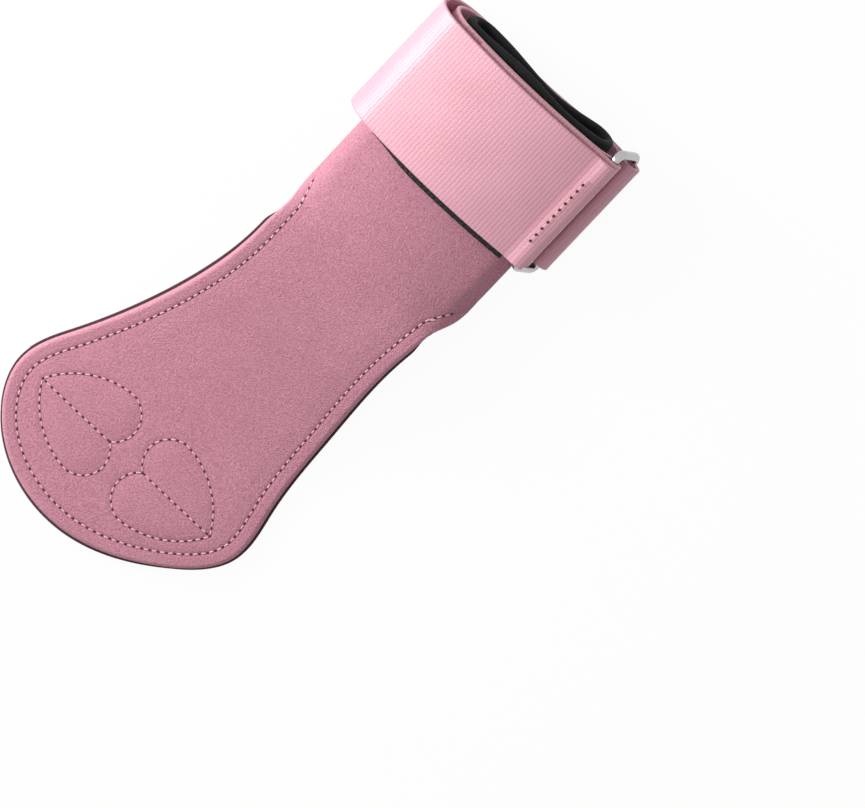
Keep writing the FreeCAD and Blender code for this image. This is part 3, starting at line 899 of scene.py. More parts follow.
@dataclass(frozen=True)
class Bead:
    """A small rounded body that is repeated along a sewn line: half sizes along, across and up."""

    along: float
    across: float
    up: float
    rings: int = 5
    around: int = 8

    def shape(self) -> tuple[np.ndarray, np.ndarray]:
        """Points and faces of one closed body: rings of a superellipse between two end points.

        At angle a from one end to the other, the place along is minus the cosine of a, and the ring's
        size is the square root of the sine, which gives the blunt ends of a drawn thread.
        """
        turn = np.linspace(0.0, math.pi, self.rings + 2)[1:-1]
        spin = np.arange(self.around) * 2 * math.pi / self.around
        size = np.sqrt(np.sin(turn))[:, None]
        x = np.broadcast_to(-np.cos(turn)[:, None] * self.along, (self.rings, self.around))
        ring = np.stack([x, np.cos(spin) * self.across * size, np.sin(spin) * self.up * size], axis=-1)
        points = np.concatenate([ring.reshape(-1, 3), [[-self.along, 0, 0], [self.along, 0, 0]]])
        index = np.arange(self.rings * self.around).reshape(self.rings, self.around)
        side = np.roll(index, -1, axis=1)
        quads = np.stack([index[:-1], side[:-1], side[1:], index[1:]], axis=-1).reshape(-1, 4)
        first, last = self.rings * self.around, self.rings * self.around + 1
        low = np.stack([side[0], index[0], np.full(self.around, first)], axis=-1)
        high = np.stack([index[-1], side[-1], np.full(self.around, last)], axis=-1)
        return points, [*quads.tolist(), *low.tolist(), *high.tolist()]

    def repeated(self, centres: np.ndarray, ways: np.ndarray, ups: np.ndarray) -> tuple[np.ndarray, list]:
        """Copies of the body at many places, turned so that X follows each way and Z each up.

        Args:
            centres: Places, one a row.
            ways: Unit directions along the sewn line.
            ups: Unit normals of the cloth.

        Returns:
            All the points, one a row, and all the faces.
        """
        points, faces = self.shape()
        side = np.cross(ups, ways)
        turned = (points[None, :, :1] * ways[:, None] + points[None, :, 1:2] * side[:, None]
                  + points[None, :, 2:] * ups[:, None])
        placed = turned + centres[:, None]
        shift = np.arange(len(centres)) * len(points)
        every = [[index + int(move) for index in face] for move in shift for face in faces]
        return placed.reshape(-1, 3), every


class Sewing:
    """Threads, and dark beads painted as the shade in the needle holes, along the pad's seams, the hearts and
    the strap's hem.
    """

    THREAD = Bead(along=0.90, across=0.27, up=0.24)
    # Flat dark bead at each needle hole: painted shade inside the hole.
    HOLE_SHADE = Bead(along=0.60, across=0.50, up=0.26)
    PAD_LIFT = (0.10, -0.02)
    HEM_LIFT = (0.16, 0.04)
    NEAR = 0.3
    HEM_ROW = 0.62
    HEM_SPAN = (0.22, 0.84)

    def __init__(self, shop: Workshop, pad: PalmPad) -> None:
        """Keep the workshop and the pad whose lines are sewn."""
        self.shop = shop
        self.pad = pad

    def on_pad(self, line: np.ndarray, pitch: float) -> tuple[np.ndarray, ...]:
        """Places, ways and normals of the stitches and of the holes along a line of the flat leather."""
        results, near = [], (-self.NEAR, 0.0, self.NEAR)
        lengths = np.concatenate([[0.0], np.cumsum(np.linalg.norm(np.diff(line, axis=0), axis=1))])
        count = max(2, round(lengths[-1] / pitch))
        for phase, lift in zip((0.5, 0.0), self.PAD_LIFT):
            at = (np.arange(count + (phase == 0.0)) + phase) * lengths[-1] / count
            spots = [np.interp(at + k, lengths, line[:, 0]) for k in near]
            rows = [np.interp(at + k, lengths, line[:, 1]) for k in near]
            rise, _ = self.pad.relief(spots[1], rows[1])
            faces = [self.pad.map.raised(s, y, rise) for s, y in zip(spots, rows)]
            way = faces[2] - faces[0]
            way /= np.linalg.norm(way, axis=1, keepdims=True)
            up = self.pad.map.raised(spots[1], rows[1], rise + 1.0) - faces[1]
            up -= way * np.sum(up * way, axis=1, keepdims=True)
            up /= np.linalg.norm(up, axis=1, keepdims=True)
            results += [faces[1] + up * lift, way, up]
        return tuple(results)

    def pad_lines(self) -> list[np.ndarray]:
        """All the sewn lines of the pad, on the flat leather."""
        hearts = [np.concatenate([heart, heart[:1]]) for heart in self.pad.hearts]
        return [self.pad.seam(), *hearts, self.pad.spine(-1), self.pad.spine(1)]

    def sew_pad(self) -> list[bpy.types.Object]:
        """Threads and needle-hole beads of painted shade for every sewn line of the pad, as one piece each.
        """
        stitches = [self.on_pad(line, self.pad.p.stitch_pitch) for line in self.pad_lines()]
        pieces = []
        for name, bead, first in (("pad_threads", self.THREAD, 0), ("pad_hole_shades", self.HOLE_SHADE, 3)):
            centres, ways, ups = (np.concatenate([group[first + k] for group in stitches]) for k in range(3))
            points, faces = bead.repeated(centres, ways, ups)
            piece = self.shop.make(name, points, faces)
            self.pad.settle(piece, "suede", None)
            pieces.append(piece)
        return pieces

    def sew_hem(self, section: CuffSection) -> list[bpy.types.Object]:
        """Row of stitches across the folded end of the strap, over the middle part of its width."""
        s = section.s
        level = section.hem_level + s.webbing
        form = section.front(level, Turn.RIGHT)
        low = s.webbing_low - s.flap_shift
        across = s.free_end - s.hem * self.HEM_ROW
        y = low + s.webbing_width * np.array(self.HEM_SPAN)
        height = form.v + math.sqrt(form.radius ** 2 - across ** 2)
        lean = across / form.radius
        up = np.array([math.sin(lean), 0.0, math.cos(lean)])
        pieces = []
        count = round((y[1] - y[0]) / self.pad.p.stitch_pitch)
        # The second row is dark beads of painted shade at the needle holes.
        rows = (("hem_threads", self.THREAD, 0.5, self.HEM_LIFT[0]),
                ("hem_hole_shades", self.HOLE_SHADE, 0.0, self.HEM_LIFT[1]))
        for name, bead, phase, lift in rows:
            at = y[0] + (np.arange(count) + phase) * (y[1] - y[0]) / count
            centres = np.stack([np.full(count, across), at, np.full(count, height)], axis=1) + up * lift
            ways = np.tile([0.0, 1.0, 0.0], (count, 1))
            points, faces = bead.repeated(centres, ways, np.tile(up, (count, 1)))
            piece = self.shop.make(name, points, faces)
            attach(piece, Body.FLAP.value)
            pieces.append(piece)
        return pieces


class Cuff:
    """Padded neoprene loop of the cuff, whose rims wave a little."""

    RIM_RADIUS = 1.6
    WAVE = 0.7
    WAVES = 3.0
    WAVE_START = 0.6
    WAVE_SPAN = (18.0, 34.0)
    FREE = 9.0

    def __init__(self, shop: Workshop, section: CuffSection) -> None:
        """Keep the workshop and the cuff's section."""
        self.shop = shop
        self.section = section

    def loop(self) -> Route:
        """Closed middle line of the padded wall, once round to the left."""
        half = self.section.s.neoprene / 2
        left, right = self.section.neoprene_caps
        forms = [
            self.section.front(-half, Turn.LEFT), left.grown(-half),
            self.section.back(-half, Turn.RIGHT), right.grown(-half), self.section.front(-half, Turn.LEFT),
        ]
        ends = heading_between(forms[3], forms[4])
        return lay_route(forms, math.pi, math.pi + 2 * math.pi if ends < 0 else math.pi, spacing=0.9)

    def neoprene(self) -> bpy.types.Object:
        """Padded loop with rounded rims that swell a little between its edges.

        The wall's section is a rounded rectangle whose rims move up and down in two slow waves round
        the loop, because the foam spreads where nothing holds it.
        """
        s = self.section.s
        route = self.loop()
        low, high = s.neoprene_low, s.neoprene_high
        section = rounded_section(s.neoprene - s.ply_gap, low, high, self.RIM_RADIUS, 40)
        rings = Workshop.swept(route, section, low - self.FREE, high + self.FREE, 0.0)[:-1]
        turn = route.lengths[:-1, None] / route.lengths[-1] * 2 * math.pi
        off_middle = section[None, :, 1] - (low + high) / 2
        rim = smooth_step(np.abs(off_middle), *self.WAVE_SPAN) * np.sign(off_middle)
        rings[..., 1] += self.WAVE * np.sin(self.WAVES * turn + self.WAVE_START) * rim
        points, faces = tube_grid(rings, True)
        uv = np.stack([np.repeat(route.lengths[:-1], len(section)), points[:, 1]], axis=1)
        piece = self.shop.make("neoprene_cuff", points, faces, uv=uv)
        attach(piece, Body.CUFF.value)
        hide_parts("cuff_neoprene")
        return piece


class StrapSet:
    """Webbing strap, its flap, the ring tab and the two fastening tapes."""

    EDGE = 0.6
    PEEL_BLEND = (-42.5, -27.0)
    HOOK_REACH = (3.0, 14.0)
    HOOK_LIP = 0.9
    HOOK_RISE = 1.6
    RISE_END = -10.0
    TAPE_STEPS = 80

    def __init__(self, shop: Workshop, section: CuffSection) -> None:
        """Keep the workshop and the cuff's section."""
        self.shop = shop
        self.section = section
        self.s = section.s
        self.low = self.s.webbing_low
        self.high = self.low + self.s.webbing_width

    def bar_form(self) -> RoundForm:
        """Round of the strap over the ring's lower bar."""
        u, v = self.section.lower_bar
        return RoundForm(u, v, self.s.ring_wire / 2 + self.s.ring_play + self.s.webbing / 2, Turn.RIGHT)

    def fold_form(self) -> RoundForm:
        """Open fold at the left, where the strap comes up from behind and turns over the front."""
        s = self.s
        across = s.base_left + s.fold_slack - s.fold_radius
        rim = s.front_radius + self.section.flap_level + s.webbing
        height = self.section.front_v + math.sqrt((rim - s.fold_radius) ** 2 - across ** 2)
        return RoundForm(-across, height, s.fold_radius - s.webbing / 2, Turn.RIGHT)

    def rounds(self) -> bpy.types.Object:
        """Strap from its sewn end, round the cuff to the ring, over the bar and back to the left fold."""
        s, half = self.s, self.s.webbing / 2
        left, right = (cap.grown(-half) for cap in self.section.base_caps)
        first = self.section.front(self.section.base_level + half, Turn.LEFT)
        forms = [
            first, left, self.section.back(self.section.base_level + half, Turn.RIGHT), right,
            self.bar_form(), self.section.tail_lobes[1],
            self.section.back(self.section.tail_level + half, Turn.LEFT), self.section.tail_lobes[0],
            self.fold_form(),
        ]
        route = lay_route(forms, first.heading_at(s.tab_seam), math.pi / 2)
        points = route.points.copy()
        points[:, 1] = np.maximum(points[:, 1], self.section.table + half)
        route = Route(points, route.headings, route.lengths)
        piece = self.shop.band("strap_rounds", route, s.webbing, self.low, self.high, self.EDGE)
        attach(piece, Body.CUFF.value)
        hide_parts("base_strap", "tail_strap_back")
        return piece

    def flap(self) -> bpy.types.Object:
        """Front of the strap from the left fold to its free end, which is folded back and sewn."""
        s, half = self.s, self.s.webbing / 2
        level = self.section.flap_level + half
        front = self.section.front(level, Turn.RIGHT)
        turn_radius = (s.webbing + s.ply_gap) / 2
        reach = front.radius + turn_radius
        across = s.free_end - half - turn_radius
        fold = RoundForm(across, front.v + math.sqrt(reach ** 2 - across ** 2), turn_radius, Turn.LEFT)
        back = self.section.front(self.section.hem_level + half, Turn.LEFT)
        end = back.heading_at(s.free_end - s.hem)
        route = lay_route([self.fold_form(), front, fold, back], math.pi / 2, end, spacing=0.7)
        low, high = self.low - s.flap_shift, self.high - s.flap_shift
        piece = self.shop.band("strap_front", route, s.webbing, low, high, self.EDGE,
                               across=36, ripple=0.07, taper=5.0)
        start, finish = (self.shop.place.metres(np.array([x, self.section.middle_y, 0.0]))
                         for x in self.PEEL_BLEND)
        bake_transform(piece)
        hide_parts("tail_strap")
        return piece

    def tab(self) -> bpy.types.Object:
        """Webbing tab folded round the ring's upper bar, both legs sewn on the cuff's front."""
        s, half = self.s, self.s.webbing / 2
        upper = self.section.front(self.section.tab_level + half, Turn.RIGHT)
        lower = self.section.front(self.section.base_level + half, Turn.LEFT)
        u, v = self.section.upper_bar
        bar = RoundForm(u, v, s.ring_wire / 2 + s.body_gap + half, Turn.RIGHT)
        cap = self.section.wrap_caps[1].grown(s.ply_gap + half)
        start, end = upper.heading_at(u - s.tab_length), lower.heading_at(s.tab_seam)
        route = lay_route([upper, bar, cap, lower], start, end)
        piece = self.shop.band("ring_tab_webbing", route, s.webbing, self.low, self.high, self.EDGE)
        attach(piece, Body.CUFF.value)
        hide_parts("ring_tab")
        return piece

    def patch(self, name: str, reach: tuple[float, float], level: float, thickness: float,
              low: np.ndarray, high: float) -> bpy.types.Object:
        """Thin tape on the front arc whose lower edge varies across the cuff.

        A point lies on the arc at its height over the padded face: its height is the arc's centre plus
        the root of the radius squared minus the place across squared.
        """
        s = self.s
        x = np.linspace(*reach, len(low))
        share = np.linspace(0.0, 1.0, 60)
        y = low[:, None] + share[None, :] * (high - low[:, None])
        across = np.broadcast_to(x[:, None], y.shape)
        layers = []
        for rise in (thickness, 0.0):
            radius = s.front_radius + level + rise
            z = self.section.front_v + np.sqrt(radius ** 2 - across ** 2)
            layers.append(np.stack([across, y, z], axis=-1))
        points, faces = closed_grid(*layers)
        return self.shop.make(name, points, faces, uv=points[:, :2].copy())

    def tapes(self) -> list[bpy.types.Object]:
        """Hook tape under the flap, cut to a point at the left, and loop tape on the tab."""
        s = self.s
        high = self.high - s.flap_shift - s.edge_margin + s.hook_overhang
        reach = (-s.tape_left - self.HOOK_REACH[0], s.tape_right + self.HOOK_REACH[1])
        x = np.linspace(*reach, self.TAPE_STEPS)
        rise = self.HOOK_RISE * (1.0 - smooth_step(x, reach[0], self.RISE_END))
        low = high - s.hook_width - self.HOOK_LIP + rise
        hook = self.patch("hook_band", reach, self.section.hook_level, s.hook_tape, low, high)
        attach(hook, Body.FLAP.value)
        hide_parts("hook_tape")
        low = np.full(self.TAPE_STEPS, self.section.middle_y - s.loop_width / 2)
        loop = self.patch("loop_band", (-s.tape_left, s.tape_right), self.section.loop_level,
                          s.loop_tape, low, low[0] + s.loop_width)
        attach(loop, Body.CUFF.value)
        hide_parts("loop_tape")
        return [hook, loop]


class SteelRing:
    """Rectangular ring of round wire with small bent corners."""

    def __init__(self, shop: Workshop, section: CuffSection) -> None:
        """Keep the workshop and the cuff's section."""
        self.shop = shop
        self.section = section

    def wire(self) -> bpy.types.Object:
        """Closed round wire on a rounded rectangle.

        The middle line has four straight sides and four quarter circles. Each ring of the wire is a
        circle in the plane of the line's outward side and the rectangle's own normal.
        """
        s = self.section.s
        half = s.webbing_width / 2 + s.ring_end_clearance + s.ring_corner
        corner = s.ring_corner
        quarter = np.linspace(0.0, math.pi / 2, 12)
        spots, sides = [], []
        centres = ((s.ring_spacing - corner, half - corner), (corner, half - corner),
                   (corner, corner - half), (s.ring_spacing - corner, corner - half))
        for k, (u, y) in enumerate(centres):
            turn = quarter + k * math.pi / 2
            out = np.stack([np.cos(turn), np.sin(turn)], axis=1)
            spots.append(np.array([u, y]) + corner * out)
            sides.append(out)
        line, out = np.concatenate(spots), np.concatenate(sides)
        tilt = math.radians(s.ring_tilt)
        across = np.array([math.cos(tilt), 0.0, -math.sin(tilt)])
        along = np.array([0.0, 1.0, 0.0])
        normal = np.cross(across, along)
        origin = np.array([self.section.upper_bar[0], self.section.middle_y, self.section.upper_bar[1]])
        middle = origin + line[:, :1] * across + line[:, 1:] * along
        side = out[:, :1] * across + out[:, 1:] * along
        spin = np.linspace(0.0, 2 * math.pi, 33)[:-1]
        radius = s.ring_wire / 2
        rings = (middle[:, None] + radius * (np.cos(spin)[None, :, None] * side[:, None]
                                             + np.sin(spin)[None, :, None] * normal))
        points, faces = tube_grid(rings, True)
        piece = self.shop.make("steel_ring", points, faces)
        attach(piece, Body.RING.value)
        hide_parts("ring")
        return piece


class Wiring:
    """Short way to place and join shader nodes in one node tree."""

    def __init__(self, tree: bpy.types.NodeTree) -> None:
        """Keep the node tree."""
        self.tree = tree

    def node(self, kind: str, inputs: dict | None = None, **settings: object) -> bpy.types.Node:
        """Place a node, set its settings, and set or join its inputs by name or number."""
        node = self.tree.nodes.new(kind)
        for key, value in settings.items():
            setattr(node, key, value)
        for key, value in (inputs or {}).items():
            if isinstance(value, bpy.types.NodeSocket):
                self.tree.links.new(value, node.inputs[key])
            else:
                node.inputs[key].default_value = value
        return node

    def math(self, operation: str, *values: object) -> bpy.types.NodeSocket:
        """Result of one Math node."""
        return self.node("ShaderNodeMath", dict(enumerate(values)), operation=operation).outputs[0]

    def mix(self, share: object, first: object, second: object) -> bpy.types.NodeSocket:
        """Colour between two colours."""
        return self.node("ShaderNodeMix", {0: share, 6: first, 7: second}, data_type="RGBA").outputs[2]

    def ease(self, value: object, low: float, high: float) -> bpy.types.NodeSocket:
        """Value moved from a range to 0 to 1."""
        inputs = {"Value": value, "From Min": low, "From Max": high}
        return self.node("ShaderNodeMapRange", inputs).outputs[0]

    def mark(self, name: str) -> bpy.types.NodeSocket:
        """Value that the mesh keeps at each point under a name."""
        return self.node("ShaderNodeAttribute", attribute_name=name).outputs["Fac"]

    def group(self, tree: bpy.types.NodeTree, inputs: dict) -> bpy.types.Node:
        """Place a node group."""
        return self.node("ShaderNodeGroup", inputs, node_tree=tree)

    def join(self, value: bpy.types.NodeSocket, node: bpy.types.Node, key: str) -> None:
        """Join a value to a named input of a node."""
        self.tree.links.new(value, node.inputs[key])


class Effects:
    """Node groups for the surface effects that several finishes share."""

    def __init__(self) -> None:
        """Build each group once."""
        self.weave = self.build_weave()
        self.fleck = self.build_fleck()
        self.knit = self.build_knit()

    @staticmethod
    def start(name: str, inputs: dict[str, float], outputs: tuple[str, ...]) -> tuple:
        """New group with float inputs and outputs.

        Returns:
            The group, its wiring, its input node and its output node.
        """
        tree = bpy.data.node_groups.new(name, "ShaderNodeTree")
        for key, value in inputs.items():
            socket = tree.interface.new_socket(key, in_out="INPUT", socket_type="NodeSocketFloat")
            socket.default_value = value
        for key in outputs:
            tree.interface.new_socket(key, in_out="OUTPUT", socket_type="NodeSocketFloat")
        wiring = Wiring(tree)
        return tree, wiring, wiring.node("NodeGroupInput"), wiring.node("NodeGroupOutput")

    def build_weave(self) -> bpy.types.NodeTree:
        """Ribbed webbing, from the UV map in millimetres.

        A rib is the sine of the place along the strap, and on each rib the threads are the sine of
        the place across it, moved by half a thread from one rib to the next.
        """
        tree, w, source, result = self.start("webbing_weave", {"Rib": 1.5, "Thread": 1.0},
                                             ("Height", "Rib Mask"))
        cloth = w.node("ShaderNodeUVMap", uv_map="cloth").outputs[0]
        spot = w.node("ShaderNodeSeparateXYZ", {0: cloth})
        noise = w.node("ShaderNodeTexNoise", {"Vector": cloth, "Scale": 0.35, "Detail": 1.0})
        wobble = noise.outputs["Fac"]
        along = w.math("ADD", spot.outputs[0], w.math("MULTIPLY", wobble, 0.5))
        rib = w.math("DIVIDE", along, source.outputs["Rib"])
        row = w.math("FLOOR", rib)
        shape = w.math("SINE", w.math("MULTIPLY", w.math("FRACT", rib), math.pi))
        offset = w.math("MULTIPLY", w.math("MODULO", row, 2.0), 0.5)
        across = w.math("ADD", w.math("DIVIDE", spot.outputs[1], source.outputs["Thread"]), offset)
        thread = w.math("ABSOLUTE", w.math("SINE", w.math("MULTIPLY", across, math.pi)))
        relief = w.math("ADD", w.math("MULTIPLY", thread, 0.55), 0.45)
        both = w.math("MULTIPLY", w.math("POWER", shape, 0.6), relief)
        w.join(both, result, "Height")
        w.join(shape, result, "Rib Mask")
        return tree

    def build_fleck(self) -> bpy.types.NodeTree:
        """Uneven tone of dyed cloth and hide: broad clouds with finer flecks on them."""
        tree, w, source, result = self.start("dye_flecks", {"Broad": 60.0, "Fine": 900.0},
                                             ("Cloud", "Fleck"))
        spot = w.node("ShaderNodeTexCoord").outputs["Object"]
        coarse, small = source.outputs["Broad"], source.outputs["Fine"]
        broad = w.node("ShaderNodeTexNoise", {"Vector": spot, "Scale": coarse, "Detail": 4.0})
        fine = w.node("ShaderNodeTexNoise", {"Vector": spot, "Scale": small, "Detail": 3.0, "Roughness": 0.7})
        w.join(w.ease(broad.outputs["Fac"], 0.3, 0.7), result, "Cloud")
        w.join(w.ease(fine.outputs["Fac"], 0.28, 0.72), result, "Fleck")
        return tree

    def build_knit(self) -> bpy.types.NodeTree:
        """Small round cells of knitted or looped cloth, on Object coordinates."""
        tree, w, source, result = self.start("knit_cells", {"Scale": 900.0}, ("Height",))
        spot = w.node("ShaderNodeTexCoord").outputs["Object"]
        scale = source.outputs["Scale"]
        cells = w.node("ShaderNodeTexVoronoi", {"Vector": spot, "Scale": scale, "Randomness": 0.75})
        height = w.math("SUBTRACT", 1.0, w.math("MULTIPLY", cells.outputs["Distance"], 1.4))
        w.join(height, result, "Height")
        return tree


@dataclass(frozen=True)
class Tones:
    """Linear colours of the finishes, as red, green, blue and 1."""

    suede: tuple = (0.600, 0.250, 0.325, 1.0)
    suede_deep: tuple = (0.470, 0.175, 0.238, 1.0)
    suede_low: tuple = (0.330, 0.105, 0.152, 1.0)
    suede_high: tuple = (0.820, 0.420, 0.510, 1.0)
    # Dark pink: painted shade in the suede's sewn grooves, and a plain darker fleck in the loop tape and the
    # needle-hole beads.
    suede_groove: tuple = (0.290, 0.085, 0.125, 1.0)
    # Pale pink of the painted highlight along the suede's edge.
    suede_rim_highlight: tuple = (0.700, 0.345, 0.420, 1.0)
    hide_back: tuple = (0.200, 0.090, 0.110, 1.0)
    webbing: tuple = (0.770, 0.385, 0.460, 1.0)
    # Deeper webbing: painted shade in the rib valleys, and a random cloudy tone.
    webbing_deep: tuple = (0.520, 0.190, 0.255, 1.0)
    thread: tuple = (0.850, 0.520, 0.590, 1.0)
    # Near-black of the needle-hole beads: painted shade inside the holes.
    hole_shade: tuple = (0.040, 0.012, 0.018, 1.0)
    neoprene: tuple = (0.005, 0.005, 0.006, 1.0)
    neoprene_worn: tuple = (0.014, 0.014, 0.016, 1.0)
    lining: tuple = (0.060, 0.022, 0.030, 1.0)
    lining_worn: tuple = (0.110, 0.045, 0.058, 1.0)
    hook: tuple = (0.012, 0.010, 0.011, 1.0)
    hook_light: tuple = (0.045, 0.040, 0.042, 1.0)
    loop: tuple = (0.420, 0.150, 0.210, 1.0)
    steel: tuple = (0.460, 0.460, 0.475, 1.0)


class Finishes:
    """Materials of the brace, one for each real finish."""

    def __init__(self, tones: Tones) -> None:
        """Build the shared effects and the materials."""
        self.tones = tones
        self.effects = Effects()
        self.suede = self.build_suede()
        self.webbing = self.build_webbing()
        self.neoprene = self.build_neoprene()
        self.lining = self.build_lining()
        self.hook = self.build_hook()
        self.loop = self.build_loop()
        self.thread = self.build_thread()
        self.hole_shade = self.build_hole_shade()
        self.steel = self.build_steel()

    @staticmethod
    def blank(name: str) -> tuple[bpy.types.Material, Wiring, bpy.types.Node]:
        """New material with its Principled shader."""
        material = bpy.data.materials.new(name)
        material.use_nodes = True
        return material, Wiring(material.node_tree), material.node_tree.nodes["Principled BSDF"]

    @staticmethod
    def matte(w: Wiring, shader: bpy.types.Node, base: float, mask: object, spread: float) -> None:
        """Join a roughness that grows from a base with a mask."""
        w.join(w.math("ADD", base, w.math("MULTIPLY", mask, spread)), shader, "Roughness")

    @staticmethod
    def plain(shader: bpy.types.Node, values: dict[str, object]) -> None:
        """Set the shader's own constants."""
        for key, value in values.items():
            shader.inputs[key].default_value = value

    @staticmethod
    def bump(w: Wiring, shader: bpy.types.Node, height: object, depth: float, strength: float) -> None:
        """Feed a height to the shader's normal, with the depth of the relief in metres."""
        node = w.node("ShaderNodeBump", {"Height": height, "Distance": depth, "Strength": strength})
        w.join(node.outputs[0], shader, "Normal")

    def build_suede(self) -> bpy.types.Material:
        """Brushed hide: soft clouds where the nap lies another way, painted shade in the sewn grooves and a
        painted highlight along the rim.
        """
        t = self.tones
        material, w, shader = self.blank("suede")
        fleck = w.group(self.effects.fleck, {"Broad": 55.0, "Fine": 1600.0})
        cloth = w.mix(w.math("MULTIPLY", fleck.outputs["Cloud"], 0.55), t.suede, t.suede_deep)
        speck = w.mix(fleck.outputs["Fleck"], t.suede_low, t.suede_high)
        grain = w.mix(0.62, cloth, speck)
        # Painted highlight: paler colour along the suede's edge.
        rim = w.mix(w.math("MULTIPLY", w.mark("rim"), 0.35), grain, t.suede_rim_highlight)
        # Painted shade: darker colour in the sewn grooves.
        groove = w.mix(w.math("MULTIPLY", w.mark("groove"), 0.28), rim, t.suede_groove)
        colour = w.mix(w.mark("back"), groove, t.hide_back)
        w.join(colour, shader, "Base Color")
        self.matte(w, shader, 0.82, fleck.outputs["Cloud"], 0.12)
        self.plain(shader, {"Sheen Weight": 0.18, "Sheen Roughness": 0.45, "Specular IOR Level": 0.2,
                            "Sheen Tint": (1.0, 0.82, 0.86, 1.0)})
        self.bump(w, shader, fleck.outputs["Fleck"], 0.0004, 0.7)
        return material

    def build_webbing(self) -> bpy.types.Material:
        """Satin webbing with crosswise ribs, whose valleys are darkened with painted shade."""
        t = self.tones
        material, w, shader = self.blank("webbing")
        weave = w.group(self.effects.weave, {"Rib": 1.5, "Thread": 1.0})
        fleck = w.group(self.effects.fleck, {"Broad": 35.0, "Fine": 2200.0})
        valley = w.math("SUBTRACT", 1.0, weave.outputs["Height"])
        # Painted shade: the rib valleys are darkened towards the deeper webbing colour.
        shade = w.mix(w.math("MULTIPLY", valley, 0.30), t.webbing, t.webbing_deep)
        colour = w.mix(w.math("MULTIPLY", fleck.outputs["Cloud"], 0.22), shade, t.webbing_deep)
        w.join(colour, shader, "Base Color")
        self.matte(w, shader, 0.38, fleck.outputs["Fleck"], 0.12)
        self.plain(shader, {"Sheen Weight": 0.25, "Sheen Roughness": 0.35, "Specular IOR Level": 0.85,
                            "Sheen Tint": (1.0, 0.88, 0.91, 1.0)})
        self.bump(w, shader, weave.outputs["Height"], 0.00020, 0.45)
        return material

    def build_neoprene(self) -> bpy.types.Material:
        """Black knitted face of the foam, a little greyer where it is rubbed."""
        t = self.tones
        material, w, shader = self.blank("neoprene")
        fleck = w.group(self.effects.fleck, {"Broad": 80.0, "Fine": 1800.0})
        knit = w.group(self.effects.knit, {"Scale": 1100.0})
        colour = w.mix(w.math("MULTIPLY", fleck.outputs["Cloud"], 0.5), t.neoprene, t.neoprene_worn)
        w.join(colour, shader, "Base Color")
        self.matte(w, shader, 0.62, fleck.outputs["Fleck"], 0.2)
        self.plain(shader, {"Specular IOR Level": 0.22})
        self.bump(w, shader, knit.outputs["Height"], 0.00018, 0.6)
        return material

    def build_lining(self) -> bpy.types.Material:
        """Dark brushed lining cloth."""
        t = self.tones
        material, w, shader = self.blank("lining")
        fleck = w.group(self.effects.fleck, {"Broad": 70.0, "Fine": 1300.0})
        colour = w.mix(fleck.outputs["Fleck"], t.lining, t.lining_worn)
        w.join(colour, shader, "Base Color")
        self.matte(w, shader, 0.8, fleck.outputs["Cloud"], 0.15)
        self.bump(w, shader, fleck.outputs["Fleck"], 0.0002, 0.5)
        return material

    def build_hook(self) -> bpy.types.Material:
        """Hook tape: rows of small stiff hooks that catch a little light at their tips."""
        t = self.tones
        material, w, shader = self.blank("hook_tape")
        knit = w.group(self.effects.knit, {"Scale": 800.0})
        tips = w.ease(knit.outputs["Height"], 0.55, 1.0)
        w.join(w.mix(tips, t.hook, t.hook_light), shader, "Base Color")
        w.join(w.math("SUBTRACT", 0.55, w.math("MULTIPLY", tips, 0.2)), shader, "Roughness")
        self.plain(shader, {"Specular IOR Level": 0.22})
        self.bump(w, shader, knit.outputs["Height"], 0.0004, 0.9)
        return material

    def build_loop(self) -> bpy.types.Material:
        """Loop tape: a matted pile of fine loops."""
        t = self.tones
        material, w, shader = self.blank("loop_tape")
        fleck = w.group(self.effects.fleck, {"Broad": 90.0, "Fine": 2000.0})
        knit = w.group(self.effects.knit, {"Scale": 1500.0})
        colour = w.mix(w.math("MULTIPLY", fleck.outputs["Fleck"], 0.6), t.loop, t.suede_groove)
        w.join(colour, shader, "Base Color")
        self.matte(w, shader, 0.8, fleck.outputs["Cloud"], 0.15)
        self.bump(w, shader, knit.outputs["Height"], 0.0003, 0.8)
        return material

    def build_thread(self) -> bpy.types.Material:
        """Pale twisted thread, with the twist as a slanted stripe of height."""
        t = self.tones
        material, w, shader = self.blank("thread")
        spot = w.node("ShaderNodeSeparateXYZ", {0: w.node("ShaderNodeTexCoord").outputs["Object"]})
        slant = w.math("ADD", spot.outputs[0], w.math("MULTIPLY", spot.outputs[1], 1.6))
        twist = w.math("SINE", w.math("MULTIPLY", slant, 9000.0))
        fleck = w.group(self.effects.fleck, {"Broad": 40.0, "Fine": 2500.0})
        colour = w.mix(w.math("MULTIPLY", fleck.outputs["Cloud"], 0.5), t.thread, t.webbing)
        w.join(colour, shader, "Base Color")
        w.join(w.ease(twist, -3.0, 3.0), shader, "Roughness")
        self.bump(w, shader, twist, 0.00006, 0.6)
        return material

    def build_hole_shade(self) -> bpy.types.Material:
        """Needle hole: painted shade as a near-black pit, with a few paler fibres."""
        t = self.tones
        material, w, shader = self.blank("needle_hole_shade")
        fleck = w.group(self.effects.fleck, {"Broad": 60.0, "Fine": 2400.0})
        colour = w.mix(w.math("MULTIPLY", fleck.outputs["Fleck"], 0.3), t.hole_shade, t.suede_groove)
        w.join(colour, shader, "Base Color")
        self.matte(w, shader, 0.85, fleck.outputs["Cloud"], 0.1)
        return material

